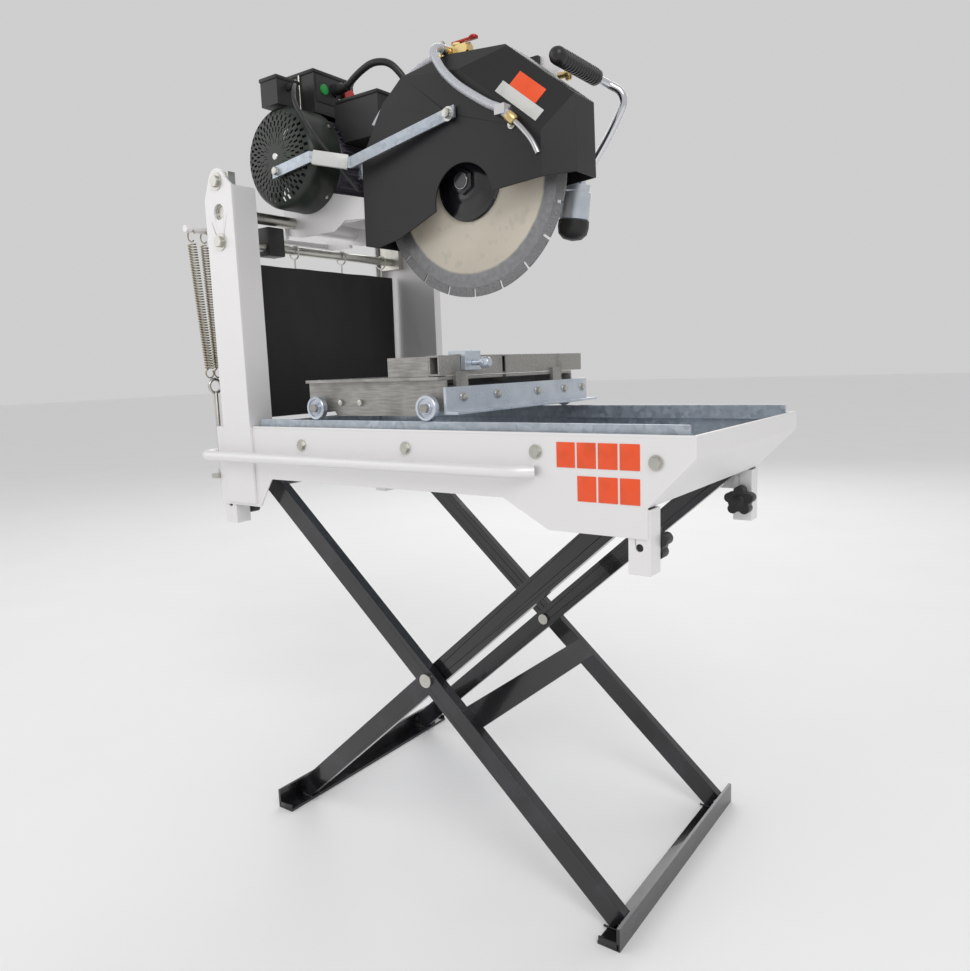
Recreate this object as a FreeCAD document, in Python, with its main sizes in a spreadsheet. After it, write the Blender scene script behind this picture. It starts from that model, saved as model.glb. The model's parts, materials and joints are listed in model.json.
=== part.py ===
"""Masonry saw on a folding stand: water pan and cart, pivoting cutting head, scissor stand.

Local frame: X towards the operator, Y across the machine, Z up, floor at Z = 0, millimetres.
Every sub-part is one labelled object, written to parts/LABEL.step.
"""
import FreeCAD, Part
import math
import os
import re

V = FreeCAD.Vector
ACROSS = V(0, 1, 0)
doc = FreeCAD.newDocument("masonry_saw")

# ---------------------------------------------------------------- driving dimensions
SIZES = {
    # pan and side panels
    "lip_x": 465, "rear_x": -430, "pan_top": 700, "half_width": 216, "sheet_side": 3,
    "side_low": 611, "skirt_low": 572, "rear_skirt_low": 560, "lip_low": 674, "skirt_front": 403,
    "liner_half": 212, "liner_floor": 655, "liner_sheet": 2,
    "rail_top": 713, "rail_low": 690, "rail_y": 201, "rail_thick": 5, "rail_start": -324,
    "rail_end": 452, "bar_height": 650, "bar_round": 8.5, "bar_half": 238,
    # stub legs and their knobs
    "leg_tube": 30, "leg_wall": 2.5, "leg_low": 525, "front_leg_x": 376, "rear_leg_x": -426,
    "leg_outer": 213, "knob_round": 24, "knob_thick": 20, "knob_height": 560,
    # posts, pivot and tie rod
    "post_rear": -404, "post_front": -331, "far_post_front": -262, "post_sheet": 5,
    "post_top": 1085, "ear_round": 22, "ear_x": -368, "ear_height": 1112, "front_flange": 45,
    "rear_flange": 22, "pivot_x": -368, "pivot_height": 1063, "pivot_round": 10,
    "tie_height": 1014, "tie_round": 8,
    # cutting head
    "blade_x": 14, "blade_y": -23, "blade_height": 1081, "blade_round": 178, "blade_thick": 3,
    "shaft_round": 12.5, "collar_round": 60, "guard_sheet": 2.5, "guard_near": -68,
    "guard_ridge": -45, "guard_far": 14, "housing_round": 30,
    "motor_x": -320, "motor_height": 1160, "motor_round": 80, "fan_round": 86,
    "rotor_round": 9, "cheek_near": -58, "cheek_far": 96, "cheek_sheet": 4,
    "belt_y": 130, "belt_wide": 22, "motor_pulley": 34, "blade_pulley": 46,
    # cart and fence
    "cart_rear": -213, "cart_front": 75, "cart_side": 196, "cart_low": 719, "cart_top": 772,
    "cart_sheet": 4, "table_sheet": 5, "roller_round": 19, "roller_height": 732.3,
    "roller_rear": -181, "roller_front": 51, "beam_end": 234, "fence_top": 808,
    # folding stand
    "hinge_x": 391, "hinge_height": 632, "cross_x": 19, "cross_height": 305, "stand_tube": 34,
    "stand_wide": 16, "outer_leg_y": 178, "inner_leg_y": 160, "free_top": 462,
    "foot_half": 225, "foot_wide": 34, "foot_thick": 5, "hinge_rod": 7, "cross_pin": 6,
}
sheet = doc.addObject("Spreadsheet::Sheet", "sizes")
for row, (alias, number) in enumerate(SIZES.items(), start=1):
    sheet.set("A%d" % row, alias)
    sheet.set("B%d" % row, str(number))
    sheet.setAlias("B%d" % row, alias)
doc.recompute()

parts = {}
ALIAS = re.compile(r"[a-z]+(?:_[a-z]+)*")


def size(alias):
    """A driving dimension's value, in millimetres."""
    return float(getattr(sheet, alias))


def bound(text):
    """An expression with each alias led to its cell in the sheet."""
    return ALIAS.sub(lambda word: "sizes." + word.group(0), str(text))


def bind(item, place, text):
    item.setExpression(place, bound(text))


def placed(item, x, y, z):
    """Place a primitive by expressions."""
    bind(item, "Placement.Base.x", x)
    bind(item, "Placement.Base.y", y)
    bind(item, "Placement.Base.z", z)


def box(x, y, z, long, wide, high):
    """A block from its low corner and its three sizes."""
    item = doc.addObject("Part::Box", "block")
    bind(item, "Length", long)
    bind(item, "Width", wide)
    bind(item, "Height", high)
    placed(item, x, y, z)
    return item


TURNS = {"x": FreeCAD.Rotation(V(0, 1, 0), 90), "y": FreeCAD.Rotation(V(1, 0, 0), -90),
         "z": FreeCAD.Rotation()}


def rod(axis, x, y, z, radius, length):
    """A round bar that starts at a point and runs along +axis."""
    item = doc.addObject("Part::Cylinder", "round_bar")
    item.Placement = FreeCAD.Placement(V(0, 0, 0), TURNS[axis])
    bind(item, "Radius", radius)
    bind(item, "Height", length)
    placed(item, x, y, z)
    return item


def hexagon(axis, x, y, z, across, length):
    """A six-sided bolt head or nut that starts at a point and runs along +axis."""
    item = doc.addObject("Part::Prism", "hexagon")
    item.Polygon = 6
    item.Placement = FreeCAD.Placement(V(0, 0, 0), TURNS[axis])
    bind(item, "Circumradius", "(%s) / 1.732" % across)
    bind(item, "Height", length)
    placed(item, x, y, z)
    return item


def fuse(*pieces):
    item = doc.addObject("Part::MultiFuse", "joined")
    item.Shapes = list(pieces)
    return item


def cut(base, *tools):
    item = doc.addObject("Part::Cut", "cut")
    item.Base = base
    item.Tool = tools[0] if len(tools) == 1 else fuse(*tools)
    return item


def group(*pieces):
    """Separate solids that share one node."""
    item = doc.addObject("Part::Compound", "set")
    item.Links = list(pieces)
    return item


def keep(label, item):
    """Make an object a sub-part under its own name."""
    item.Label = label
    parts[label] = item
    return item


def solid(shape):
    """A shape worked out in code, as an object of the document."""
    item = doc.addObject("Part::Feature", "shape")
    item.Shape = shape
    return item


def panel(outline, y, thick, holes=()):
    """A plate cut to an (X, Z) outline, padded along +Y from y; holes are (x, z, radius)."""
    body = doc.addObject("PartDesign::Body", "panel")
    plane = [f for f in body.Origin.OriginFeatures if f.Role == "XZ_Plane"][0]
    sketch = body.newObject("Sketcher::SketchObject", "outline")
    sketch.AttachmentSupport = (plane, "")
    sketch.MapMode = "FlatFace"
    corners = [V(x, z, 0) for x, z in outline]
    for start, end in zip(corners, corners[1:] + corners[:1]):
        sketch.addGeometry(Part.LineSegment(start, end))
    for x, z, radius in holes:
        sketch.addGeometry(Part.Circle(V(x, z, 0), V(0, 0, 1), radius))
    pad = body.newObject("PartDesign::Pad", "thickness")
    pad.Profile = sketch
    pad.Reversed = True
    bind(pad, "Length", thick)
    bind(body, "Placement.Base.y", y)
    return body


def arc_points(x, z, radius, start, end, steps):
    """Points along an arc in the XZ plane, angles in degrees from +X towards +Z."""
    turns = [math.radians(start + (end - start) * step / steps) for step in range(steps + 1)]
    return [(x + radius * math.cos(turn), z + radius * math.sin(turn)) for turn in turns]


def bent_path(points):
    """Straight runs joined by tangent arcs, each as large as its two runs allow."""
    points = [V(*point) for point in points]
    edges = []
    radii = []
    last = points[0]
    for before, corner, after in zip(points, points[1:], points[2:]):
        back = (before - corner).normalize()
        ahead = (after - corner).normalize()
        half_turn = (math.pi - back.getAngle(ahead)) / 2
        room = 0.45 * min((before - corner).Length, (after - corner).Length)
        radius = room / math.tan(half_turn)
        radii.append(round(radius, 1))
        start = corner + back * room
        end = corner + ahead * room
        middle_way = (back + ahead).normalize()
        middle = corner + middle_way * (radius / math.cos(half_turn) - radius)
        edges.append(Part.LineSegment(last, start).toShape())
        edges.append(Part.Arc(start, middle, end).toShape())
        last = end
    edges.append(Part.LineSegment(last, points[-1]).toShape())
    return Part.Wire(edges), radii


def bent_bar(name, points, radius, bore=0):
    """The shape of a round bar or tube along a bent path."""
    wire, radii = bent_path(points)
    heading = V(*points[1]) - V(*points[0])
    profile = Part.Wire(Part.makeCircle(radius, V(*points[0]), heading))
    shape = wire.makePipeShell([profile], True, False)
    if bore:
        inner = Part.Wire(Part.makeCircle(bore, V(*points[0]), heading))
        shape = shape.cut(wire.makePipeShell([inner], True, False))
    expected = math.pi * (radius ** 2 - bore ** 2) * wire.Length
    ratio = round(shape.Volume / expected, 3)
    print(name, "length", round(wire.Length), "radii", radii, "volume ratio", ratio)
    return shape


def inset(outline, gaps):
    """Move each side of a clockwise (X, Z) outline inwards by its own gap."""
    lines = []
    for (start, end), gap in zip(zip(outline, outline[1:] + outline[:1]), gaps):
        dx, dz = end[0] - start[0], end[1] - start[1]
        length = math.hypot(dx, dz)
        shift = (dz / length * gap, -dx / length * gap)
        lines.append((start[0] + shift[0], start[1] + shift[1], dx / length, dz / length))
    moved = []
    for (ax, az, adx, adz), (bx, bz, bdx, bdz) in zip(lines[-1:] + lines[:-1], lines):
        cross = adx * bdz - adz * bdx
        along = ((bx - ax) * bdz - (bz - az) * bdx) / cross
        moved.append((ax + adx * along, az + adz * along))
    return moved


def wire_at(outline, y):
    corners = [V(x, y, z) for x, z in outline]
    return Part.makePolygon(corners + corners[:1])


def prism(outline, y, depth):
    return Part.Face(wire_at(outline, y)).extrude(V(0, depth, 0))


def drum(x, z, radius, y, depth):
    """A cylinder along +Y."""
    return Part.makeCylinder(radius, depth, V(x, y, z), ACROSS)


# ---------------------------------------------------------------- pan and frame
def side_outline():
    top, lip, low = size("pan_top"), size("lip_x"), size("side_low")
    rear, front = size("rear_x"), size("skirt_front")
    return [(rear, top), (lip, top), (lip, size("lip_low")), (front, low),
            (front, size("skirt_low")), (262, size("skirt_low")), (190, low), (-290, low),
            (-324, size("rear_skirt_low")), (rear, size("rear_skirt_low"))]


def pan_and_panels():
    keep("side_panel_near", panel(side_outline(), "-half_width", "sheet_side"))
    keep("side_panel_far", panel(side_outline(), "half_width - sheet_side", "sheet_side"))
    gap = size("sheet_side")
    lip, low, front = size("lip_x"), size("side_low"), size("skirt_front")
    apron = [(lip, size("pan_top")), (lip, size("lip_low")), (front, low), (front - gap, low + 1.4),
             (lip - gap, size("lip_low") + 1.4), (lip - gap, size("pan_top"))]
    between = "2 * (half_width - sheet_side)"
    rear = box("rear_x", "-half_width + sheet_side", "rear_skirt_low + 34", "sheet_side", between,
               "pan_top - rear_skirt_low - 34")
    keep("end_panels", group(panel(apron, "-half_width + sheet_side", between), rear))
    half, floor, wall = size("liner_half"), size("liner_floor"), size("liner_sheet")
    outer = [(-426.5, 697), (458, 697), (458, 676.5), (437, floor), (-426.5, floor)]
    inner = inset(outer, [-20, wall, wall, wall, wall])
    tray = prism(outer, -half, 2 * half).cut(prism(inner, -half + wall, 2 * (half - wall)))
    keep("water_pan", solid(tray))
    rails = []
    for edge, web in (("-rail_y - rail_thick / 2", "-liner_half + liner_sheet"),
                      ("rail_y - rail_thick / 2", "rail_y - rail_thick / 2")):
        upright = box("rail_start", edge, "rail_low", "rail_end - rail_start", "rail_thick",
                      "rail_top - rail_low")
        ledge = box("rail_start", web, "rail_low", "rail_end - rail_start",
                    "liner_half - liner_sheet - rail_y + rail_thick / 2", 4)
        rails.append(fuse(upright, ledge))
    keep("cart_rails", group(*rails))


def underframe():
    pieces = []
    height = "liner_floor - leg_low"
    for x in ("front_leg_x", "rear_leg_x"):
        for low in ("-leg_outer", "leg_outer - leg_tube"):
            outer = box(x, low, "leg_low", "leg_tube", "leg_tube", height)
            inner = box(x + " + leg_wall", low + " + leg_wall", "leg_low - 1",
                        "leg_tube - 2 * leg_wall", "leg_tube - 2 * leg_wall", height + " - leg_wall")
            stud = rod("y", x + " + leg_tube / 2", low + " - 1", "knob_height", 5.05, "leg_tube + 2")
            holes = [inner, stud]
            if x == "front_leg_x":
                apron_edge = [(399.9, 613.4), (399.9, 609), (430, 609), (430, 644)]
                holes.append(solid(prism(apron_edge, -size("half_width"), 2 * size("half_width"))))
                holes.append(rod("y", "hinge_x", low + " - 1", "hinge_height", "hinge_rod",
                                 "leg_tube + 2"))
            pieces.append(cut(outer, *holes))
    beam = box(-345, "-leg_outer", 624.5, 55, "2 * leg_outer", "liner_floor - 624.5")
    hollow = box(-341, "-leg_outer - 1", 628.5, 47, "2 * leg_outer + 2", "liner_floor - 632.5")
    pieces.append(cut(beam, hollow))
    keep("underframe", group(*pieces))


def posts():
    rear, gauge, half = size("post_rear"), size("post_sheet"), size("half_width")
    top, ear = size("post_top"), size("ear_height")
    foot, low = size("rear_skirt_low") + 6, size("pan_top") + 1
    crown = arc_points(size("ear_x"), ear, size("ear_round"), 155, 15, 8)
    holes = [(size("ear_x"), ear, 5.5), (size("ear_x"), size("tie_height"), 5.5),
             (size("pivot_x"), size("pivot_height"), 13)]
    for side, sign, front in (("near", -1, size("post_front")), ("far", 1, size("far_post_front"))):
        # the far post is cut wider, and its top slopes down to its front edge
        brow = top + 18 if sign < 0 else top - 40
        web = [(rear, foot), (rear, top)] + crown + [(front, brow)]
        if sign > 0:
            web += [(front, low), (size("post_front"), low)]
        web.append((size("post_front"), foot))
        face = prism(web, half if sign > 0 else -half - gauge, gauge)
        face = face.cut([drum(x, z, radius, sign * half - 2 * gauge, 4 * gauge) for x, z, radius in holes])
        run = size("front_flange") if sign < 0 else gauge + 15
        flange_low = -half - gauge if sign < 0 else half
        flange = Part.makeBox(gauge, run + gauge if sign < 0 else run, brow - low,
                              V(front - gauge, flange_low, low))
        back = Part.makeBox(gauge, size("rear_flange"), top - low,
                            V(rear, half - size("rear_flange") if sign > 0 else -half, low))
        keep("post_" + side, solid(face.fuse([flange, back]).removeSplitter()))


def carry_bar():
    height, half, rear = size("bar_height"), size("bar_half"), -size("lip_x") + size("bar_round")
    near = [(244, -size("half_width") - 3, height), (216, -half, height), (rear + 20, -half, height),
            (rear, -half + 20, height)]
    far = [(x, -y, z) for x, y, z in reversed(near)]
    bar = bent_bar("carry_bar", near + far, size("bar_round"), size("bar_round") - 2)
    stays = []
    for sign in (-1, 1):
        low = half - 8 if sign > 0 else -half
        stays.append(drum(size("ear_x"), height, 6, size("half_width") + size("post_sheet") if sign > 0
                          else -half + 7, half - 7 - size("half_width") - size("post_sheet")))
    between = Part.makeBox(100, 2 * size("half_width"), 40, V(200, -size("half_width"), height - 20))
    keep("carry_bar", solid(bar.fuse(stays).cut(between)))


def pivot_and_tie():
    keep("pivot_shaft", rod("y", "pivot_x", "-half_width + 2", "pivot_height", "pivot_round",
                            "2 * half_width - 4"))
    blocks = []
    for low in ("-half_width", "half_width - 14"):
        block = box("pivot_x - 26", low, "tie_height - 16", 52, 14, "ear_height - tie_height + 30")
        blocks.append(cut(block, rod("y", "pivot_x", low + " - 1", "pivot_height", "pivot_round + 0.05", 16),
                          rod("y", "ear_x", low + " - 1", "ear_height", 5, 16),
                          rod("y", "ear_x", low + " - 1", "tie_height", 5, 16)))
    keep("pivot_blocks", group(*blocks))
    tie = fuse(
        rod("y", "ear_x", "-half_width + 14", "tie_height", "tie_round", "2 * half_width - 28"),
        rod("y", "ear_x", "-half_width - post_sheet - 3", "tie_height", 5,
            "2 * half_width + 2 * post_sheet + 6"),
        hexagon("y", "ear_x", "-half_width - post_sheet - 8", "tie_height", 17, 8),
        hexagon("y", "ear_x", "half_width + post_sheet", "tie_height", 17, 8))
    stop = cut(box("ear_x - 14", -129, "tie_height - 14", 28, 32, 46),
               rod("y", "ear_x", -130, "tie_height", "tie_round", 34))
    keep("tie_rod", group(tie, stop))
    bolts = []
    for start, head in (("-half_width - post_sheet - 3", "-half_width - post_sheet - 7"),
                        ("half_width - 14", "half_width + post_sheet")):
        bolts.append(fuse(rod("y", "ear_x", start, "ear_height", 5, "post_sheet + 17"),
                          hexagon("y", "ear_x", head, "ear_height", 17, 7)))
    for x, z in ((-208, 672), (18, 674), (245, 676), (415, 668)):
        for y in ("-half_width - 5", "half_width"):
            bolts.append(hexagon("y", x, y, z, 13, 5))
    keep("frame_bolts", group(*bolts))


def curtain():
    keep("splash_curtain", box("ear_x - 1.5", -206, 712, 3, 412, 270))
    hooks = []
    x, z = size("ear_x"), size("tie_height") - 3
    for y in (-175, -60, 60, 175):
        ring = Part.makeTorus(12.5, 1.5, V(x, y, z), ACROSS)
        stem = Part.makeCylinder(1.5, z - 12.5 - 982, V(x, y, 982))
        hooks.append(ring.fuse(stem))
    keep("curtain_hooks", solid(Part.makeCompound(hooks)))


def springs():
    coils = []
    for y_low, y_top in ((-214, -220), (-196, -194)):
        start, end = V(-439, y_low, 800), V(-450, y_top, 1022)
        way = end - start
        coil = Part.makeCylinder(8, way.Length, start, way)
        coils.append(coil.cut(Part.makeCylinder(5, way.Length, start, way)))
    keep("lift_springs", solid(Part.makeCompound(coils)))
    x, y = -439, -205
    eye = Part.makeTorus(12, 3, V(x, y, 772), V(1, 0, 0))
    stem = Part.makeCylinder(4, 168, V(x, y, 593))
    lug = Part.makeBox(18, 34, 8, V(-448, -222, 606)).cut(Part.makeCylinder(4, 20, V(x, y, 600)))
    nut = Part.makeCylinder(7, 8, V(x, y, 614)).cut(Part.makeCylinder(4, 20, V(x, y, 610)))
    keep("spring_anchor", solid(Part.makeCompound([eye.fuse(stem), lug, nut])))


# ---------------------------------------------------------------- cutting head
def head_arm(handle):
    near, far, gauge = size("cheek_near"), size("cheek_far"), size("cheek_sheet")
    x, z, housing = size("blade_x"), size("blade_height"), size("housing_round")
    cheek = [(-392, 1044), (-392, 1098), (-268, 1103), (-190, 1084), (-182, 1082), (-182, 1048),
             (-235, 1052), (-262, 1036), (-350, 1036)]
    deck = Part.makeBox(214, far - near - gauge, 4, V(-396, near + gauge, 1072))
    under = Part.makeBox(80, far - near - gauge, 4, V(-262, near + gauge, 1048))
    boom = Part.makeBox(190, 60, 44, V(-196, 36, 1052)).cut(Part.makeBox(188, 52, 36, V(-200, 40, 1056)))
    hub = drum(size("pivot_x"), size("pivot_height"), 16, near + gauge, far - near - gauge)
    guard_pad = Part.makeBox(60, 36 - size("guard_far"), 30, V(-120, size("guard_far"), 1060))
    housing_low, housing_end = size("guard_far") + 6, size("belt_y") - 8
    tube = drum(x, z, housing, housing_low, housing_end - housing_low)
    grip_pad = Part.makeBox(76, 20, 44, V(30, 96, 1052))
    frame = prism(cheek, near, gauge).fuse([prism(cheek, far, gauge), deck, under, boom, hub, guard_pad,
                                            tube, grip_pad])
    shaft = drum(size("pivot_x"), size("pivot_height"), size("pivot_round"), -200, 400)
    frame = frame.cut([shaft, drum(x, z, housing - 4, housing_low - 1, housing_end), handle])
    keep("head_arm", solid(frame.removeSplitter()))
    tails = [Part.makeBox(80, 8, 22, V(-462, y, 1036)) for y in (near - 8, far + gauge)]
    bar = drum(-450, 1045, 6, -232, 350)
    keep("tail_bar", solid(bar.fuse(tails).removeSplitter()))


def spindle():
    x, z, y = size("blade_x"), size("blade_height"), size("blade_y")
    thick, shaft, collar = size("blade_thick"), size("shaft_round"), size("collar_round")
    rings = []
    for low in ("guard_far + 8", "belt_y - 25"):
        rings.append(cut(rod("y", "blade_x", low, "blade_height", "housing_round - 4", 15),
                         rod("y", "blade_x", low + " - 1", "blade_height", "shaft_round + 0.05", 17)))
    keep("spindle_bearings", group(*rings))
    keep("blade_shaft", rod("y", "blade_x", "blade_y - 26", "blade_height", "shaft_round",
                            "belt_y + belt_wide - blade_y + 28"))
    nut = [(x + 20.8 * math.cos(math.radians(turn)), z + 20.8 * math.sin(math.radians(turn)))
           for turn in range(0, 360, 60)]
    bore = drum(x, z, shaft, y - 60, 120)
    stack = [drum(x, z, collar, y + thick / 2, 10), drum(x, z, collar, y - thick / 2 - 9, 9),
             prism(nut, y - thick / 2 - 21, 12)]
    keep("blade_flanges", solid(Part.makeCompound([piece.cut(bore) for piece in stack])))
    disc = drum(x, z, size("blade_round"), y - thick / 2, thick)
    slots = []
    for step in range(20):
        slot = Part.makeBox(14, 10, 3, V(size("blade_round") - 12, -5, -1.5))
        slot = slot.fuse(drum(size("blade_round") - 12, 0, 3.2, -5, 10))
        slot.Placement = FreeCAD.Placement(V(x, y, z), FreeCAD.Rotation(ACROSS, 18 * step))
        slots.append(slot)
    keep("diamond_blade", solid(disc.cut(slots + [bore])))


def blunted(shape, planes, depth):
    """A shape cut by planes, each through three points and moved in by a depth."""
    for first, second, third in planes:
        normal = (second - first).cross(third - first).normalize()
        if normal.y > 0:
            normal = -normal
        block = Part.makeBox(900, 900, 200, V(-450, -450, -depth))
        block.Placement = FreeCAD.Placement(first, FreeCAD.Rotation(V(0, 0, 1), normal))
        shape = shape.cut(block)
    return shape


def guard():
    gauge = size("guard_sheet")
    near, ridge, far = size("guard_near"), size("guard_ridge"), size("guard_far")
    outline = [(-179, 1000), (-177, 1142), (-126, 1219), (-82, 1252), (-8, 1274), (102, 1264), (219, 1170),
               (221, 1063), (60, 1050), (-21, 1037), (-101, 1004), (-150, 994)]
    # the near upper edge is bevelled by four planes
    bevels = [(V(-82, near, 1252), V(-8, ridge, 1274), V(0, near, 1242)),
              (V(-8, ridge, 1274), V(102, ridge, 1264), V(0, near, 1245)),
              (V(102, ridge, 1264), V(219, ridge, 1170), V(176, near, 1122)),
              (V(219, ridge, 1170), V(221, ridge, 1063), V(176, near, 1059))]
    # the skin is set in on the seven upper sides and left open along the lower ones
    inner = inset(outline, [gauge] * 7 + [-30] * 5)
    shell = blunted(prism(outline, near, far - near), bevels, 0)
    hollow = blunted(prism(inner, near + gauge, far - near - 2 * gauge), bevels, gauge)
    x, z = size("blade_x"), size("blade_height")
    holes = [drum(x + 18, z - 34, 55, near - 10, 20), drum(x, z, 31, far - 10, 20),
             drum(15, 1175, 4, near - 4, 10), Part.makeCylinder(6.5, 40, V(-2, -22, 1250))]
    keep("blade_guard", solid(shell.cut([hollow] + holes)))


def strap():
    route = [(26, -73, 1178), (-176, -96, 1132), (-232, -134, 1144), (-318, -140, 1130)]
    rings = []
    for x, y, z in route:
        rings.append(Part.makePolygon([V(x, y - 2, z - 9), V(x, y + 2, z - 9), V(x, y + 2, z + 9),
                                       V(x, y - 2, z + 9), V(x, y - 2, z - 9)]))
    bar = Part.makeLoft(rings, True, True)
    boss = drum(-308, 1132, 6, -139, 6.9)
    shank = drum(15, 1175, 4, -78, 16)
    head = drum(15, 1175, 7, -83, 8)
    keep("guard_brace", solid(bar.fuse([boss, shank, head]).removeSplitter()))


def motor():
    x, z, bore = size("motor_x"), size("motor_height"), size("rotor_round")
    near, far, gauge = size("cheek_near"), size("cheek_far"), size("cheek_sheet")
    barrel = drum(x, z, size("motor_round"), near + gauge + 2, far - near - gauge - 4)
    feet = Part.makeBox(86, 110, 40, V(x - 31, near + 22, 1076))
    bell = drum(x, z, 54, far - 2, 24)
    body = barrel.fuse([feet, bell]).cut(drum(x, z, bore + 0.05, -100, 300))
    keep("motor_body", solid(body.removeSplitter()))
    keep("fan_cover", cut(rod("y", "motor_x", -132, "motor_height", "fan_round", "131.5 + cheek_near"),
                          rod("y", "motor_x", -129, "motor_height", "fan_round - 3", "132 + cheek_near")))
    blades = []
    for step in range(6):
        blade = Part.makeBox(56, 26, 3, V(14, -119, -1.5))
        blade.Placement = FreeCAD.Placement(V(x, 0, z), FreeCAD.Rotation(ACROSS, 60 * step))
        blades.append(blade)
    shaft = drum(x, z, bore, -124, size("belt_y") + size("belt_wide") + 130)
    wheel = drum(x, z, 20, -121, 30).fuse(blades + [shaft, pulley(x, z, size("motor_pulley"))])
    keep("motor_rotor", solid(wheel.removeSplitter()))


def pulley(x, z, radius):
    """A two-groove pulley along Y."""
    low, wide = size("belt_y"), size("belt_wide")
    rim = drum(x, z, radius, low, wide)
    rings = [Part.makeTorus(radius + 1.5, 4, V(x, low + share * wide, z), ACROSS) for share in (0.3, 0.7)]
    return rim.cut(rings)


def belt_loop(x1, z1, r1, x2, z2, r2, y, depth):
    """The area that a belt round two pulleys encloses, extruded along Y."""
    dx, dz = x2 - x1, z2 - z1
    way = math.atan2(dz, dx)
    lean = math.acos((r1 - r2) / math.hypot(dx, dz))

    def at(x, z, r, turn):
        return V(x + r * math.cos(turn), y, z + r * math.sin(turn))
    up, down = way + lean, way - lean
    top = Part.LineSegment(at(x1, z1, r1, up), at(x2, z2, r2, up)).toShape()
    front = Part.Arc(at(x2, z2, r2, up), at(x2, z2, r2, way), at(x2, z2, r2, down)).toShape()
    low = Part.LineSegment(at(x2, z2, r2, down), at(x1, z1, r1, down)).toShape()
    back = Part.Arc(at(x1, z1, r1, down), at(x1, z1, r1, way + math.pi), at(x1, z1, r1, up)).toShape()
    return Part.Face(Part.Wire([top, front, low, back])).extrude(V(0, depth, 0))


def drive():
    x1, z1, x2, z2 = size("motor_x"), size("motor_height"), size("blade_x"), size("blade_height")
    small, large = size("motor_pulley"), size("blade_pulley")
    big = pulley(x2, z2, large).cut(drum(x2, z2, size("shaft_round"), 100, 80))
    keep("blade_pulley", solid(big))
    loops = []
    for share in (0.3, 0.7):
        y = size("belt_y") + share * size("belt_wide")
        outside = belt_loop(x1, z1, small + 3.6, x2, z2, large + 3.6, y - 2.6, 5.2)
        inside = belt_loop(x1, z1, small + 0.4, x2, z2, large + 0.4, y - 4, 8)
        loops.append(outside.cut(inside))
    keep("drive_belts", solid(Part.makeCompound(loops)))
    low, deep = size("belt_y") - 6, size("belt_wide") + 18
    outer = belt_loop(x1, z1, 62, x2, z2, 66, low, deep)
    shell = outer.cut(belt_loop(x1, z1, 60, x2, z2, 64, low - 1, deep - 1))
    back = belt_loop(x1, z1, 60, x2, z2, 64, low, 2.5)
    stays = [drum(x, z, 5, size("cheek_far") + size("cheek_sheet"), low + 1 - size("cheek_far") - 4)
             for x, z in ((-240, 1088), (-200, 1077))]
    back = back.cut([drum(x1, z1, 30, low - 5, 20), drum(x2, z2, 30.5, low - 5, 20)])
    keep("belt_cover", solid(shell.fuse([back] + stays).removeSplitter()))


def controls():
    shell = cut(box(-361, -58, 1243, 70, 98, 70), box(-358.5, -55.5, 1241, 65, 93, 69.5))
    holes = [rod("x", -295, y, 1285, 9, 12) for y in (-36, 22)]
    small = box(-353, -125, 1247, 42, 50, 44)
    gland = fuse(rod("x", -291, -8, 1290, 9, 10), hexagon("x", -291, -8, 1290, 22, 5))
    # the starter's box is seated on the side of the motor barrel
    barrel = drum(size("motor_x"), size("motor_height"), size("motor_round") + 0.05, -60, 120)
    junction = solid(Part.makeBox(102, 80, 70, V(-262, -40, 1186)).cut(barrel))
    keep("switch_box", group(cut(shell, *holes), small, gland, junction))
    keep("start_button", fuse(rod("x", -296, -36, 1285, 8.6, 9), rod("x", -299, -36, 1285, 11, 3.5)))
    keep("stop_button", fuse(rod("x", -296, 22, 1285, 8.6, 9), rod("x", -287, 22, 1285, 13, 5),
                             rod("x", -299, 22, 1285, 11, 3.5)))
    supply = bent_bar("motor_cable", [
        (-281, -8, 1290), (-260, -8, 1290), (-232, -8, 1306), (-198, -6, 1318), (-164, 0, 1312),
        (-142, 12, 1284), (-138, 30, 1250), (-156, 46, 1218), (-190, 54, 1196), (-222, 58, 1186),
        (-252, 60, 1178)], 6)
    supply = supply.cut(drum(size("motor_x"), size("motor_height"), size("motor_round"), -60, 200))
    thin = bent_bar("switch_cable", [
        (-311, -100, 1278), (-292, -100, 1278), (-274, -122, 1262), (-256, -139, 1232), (-232, -136, 1198),
        (-220, -118, 1166), (-208, -98, 1138), (-200, -80, 1114), (-192, -64, 1094)], 3.5)
    keep("head_cables", solid(Part.makeCompound([supply, thin])))


def grip_and_handle(handle):
    keep("handle_tube", solid(handle))
    x, z, start = 185, 1231, -30
    grip = drum(x, z, 13, start, 118)
    cap = Part.makeSphere(13, V(x, start, z)).common(Part.makeBox(40, 13, 40, V(x - 20, start - 13, z - 20)))
    keep("hand_grip", solid(grip.fuse(cap).cut(drum(x, z, 6.5, start, 118))))


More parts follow.
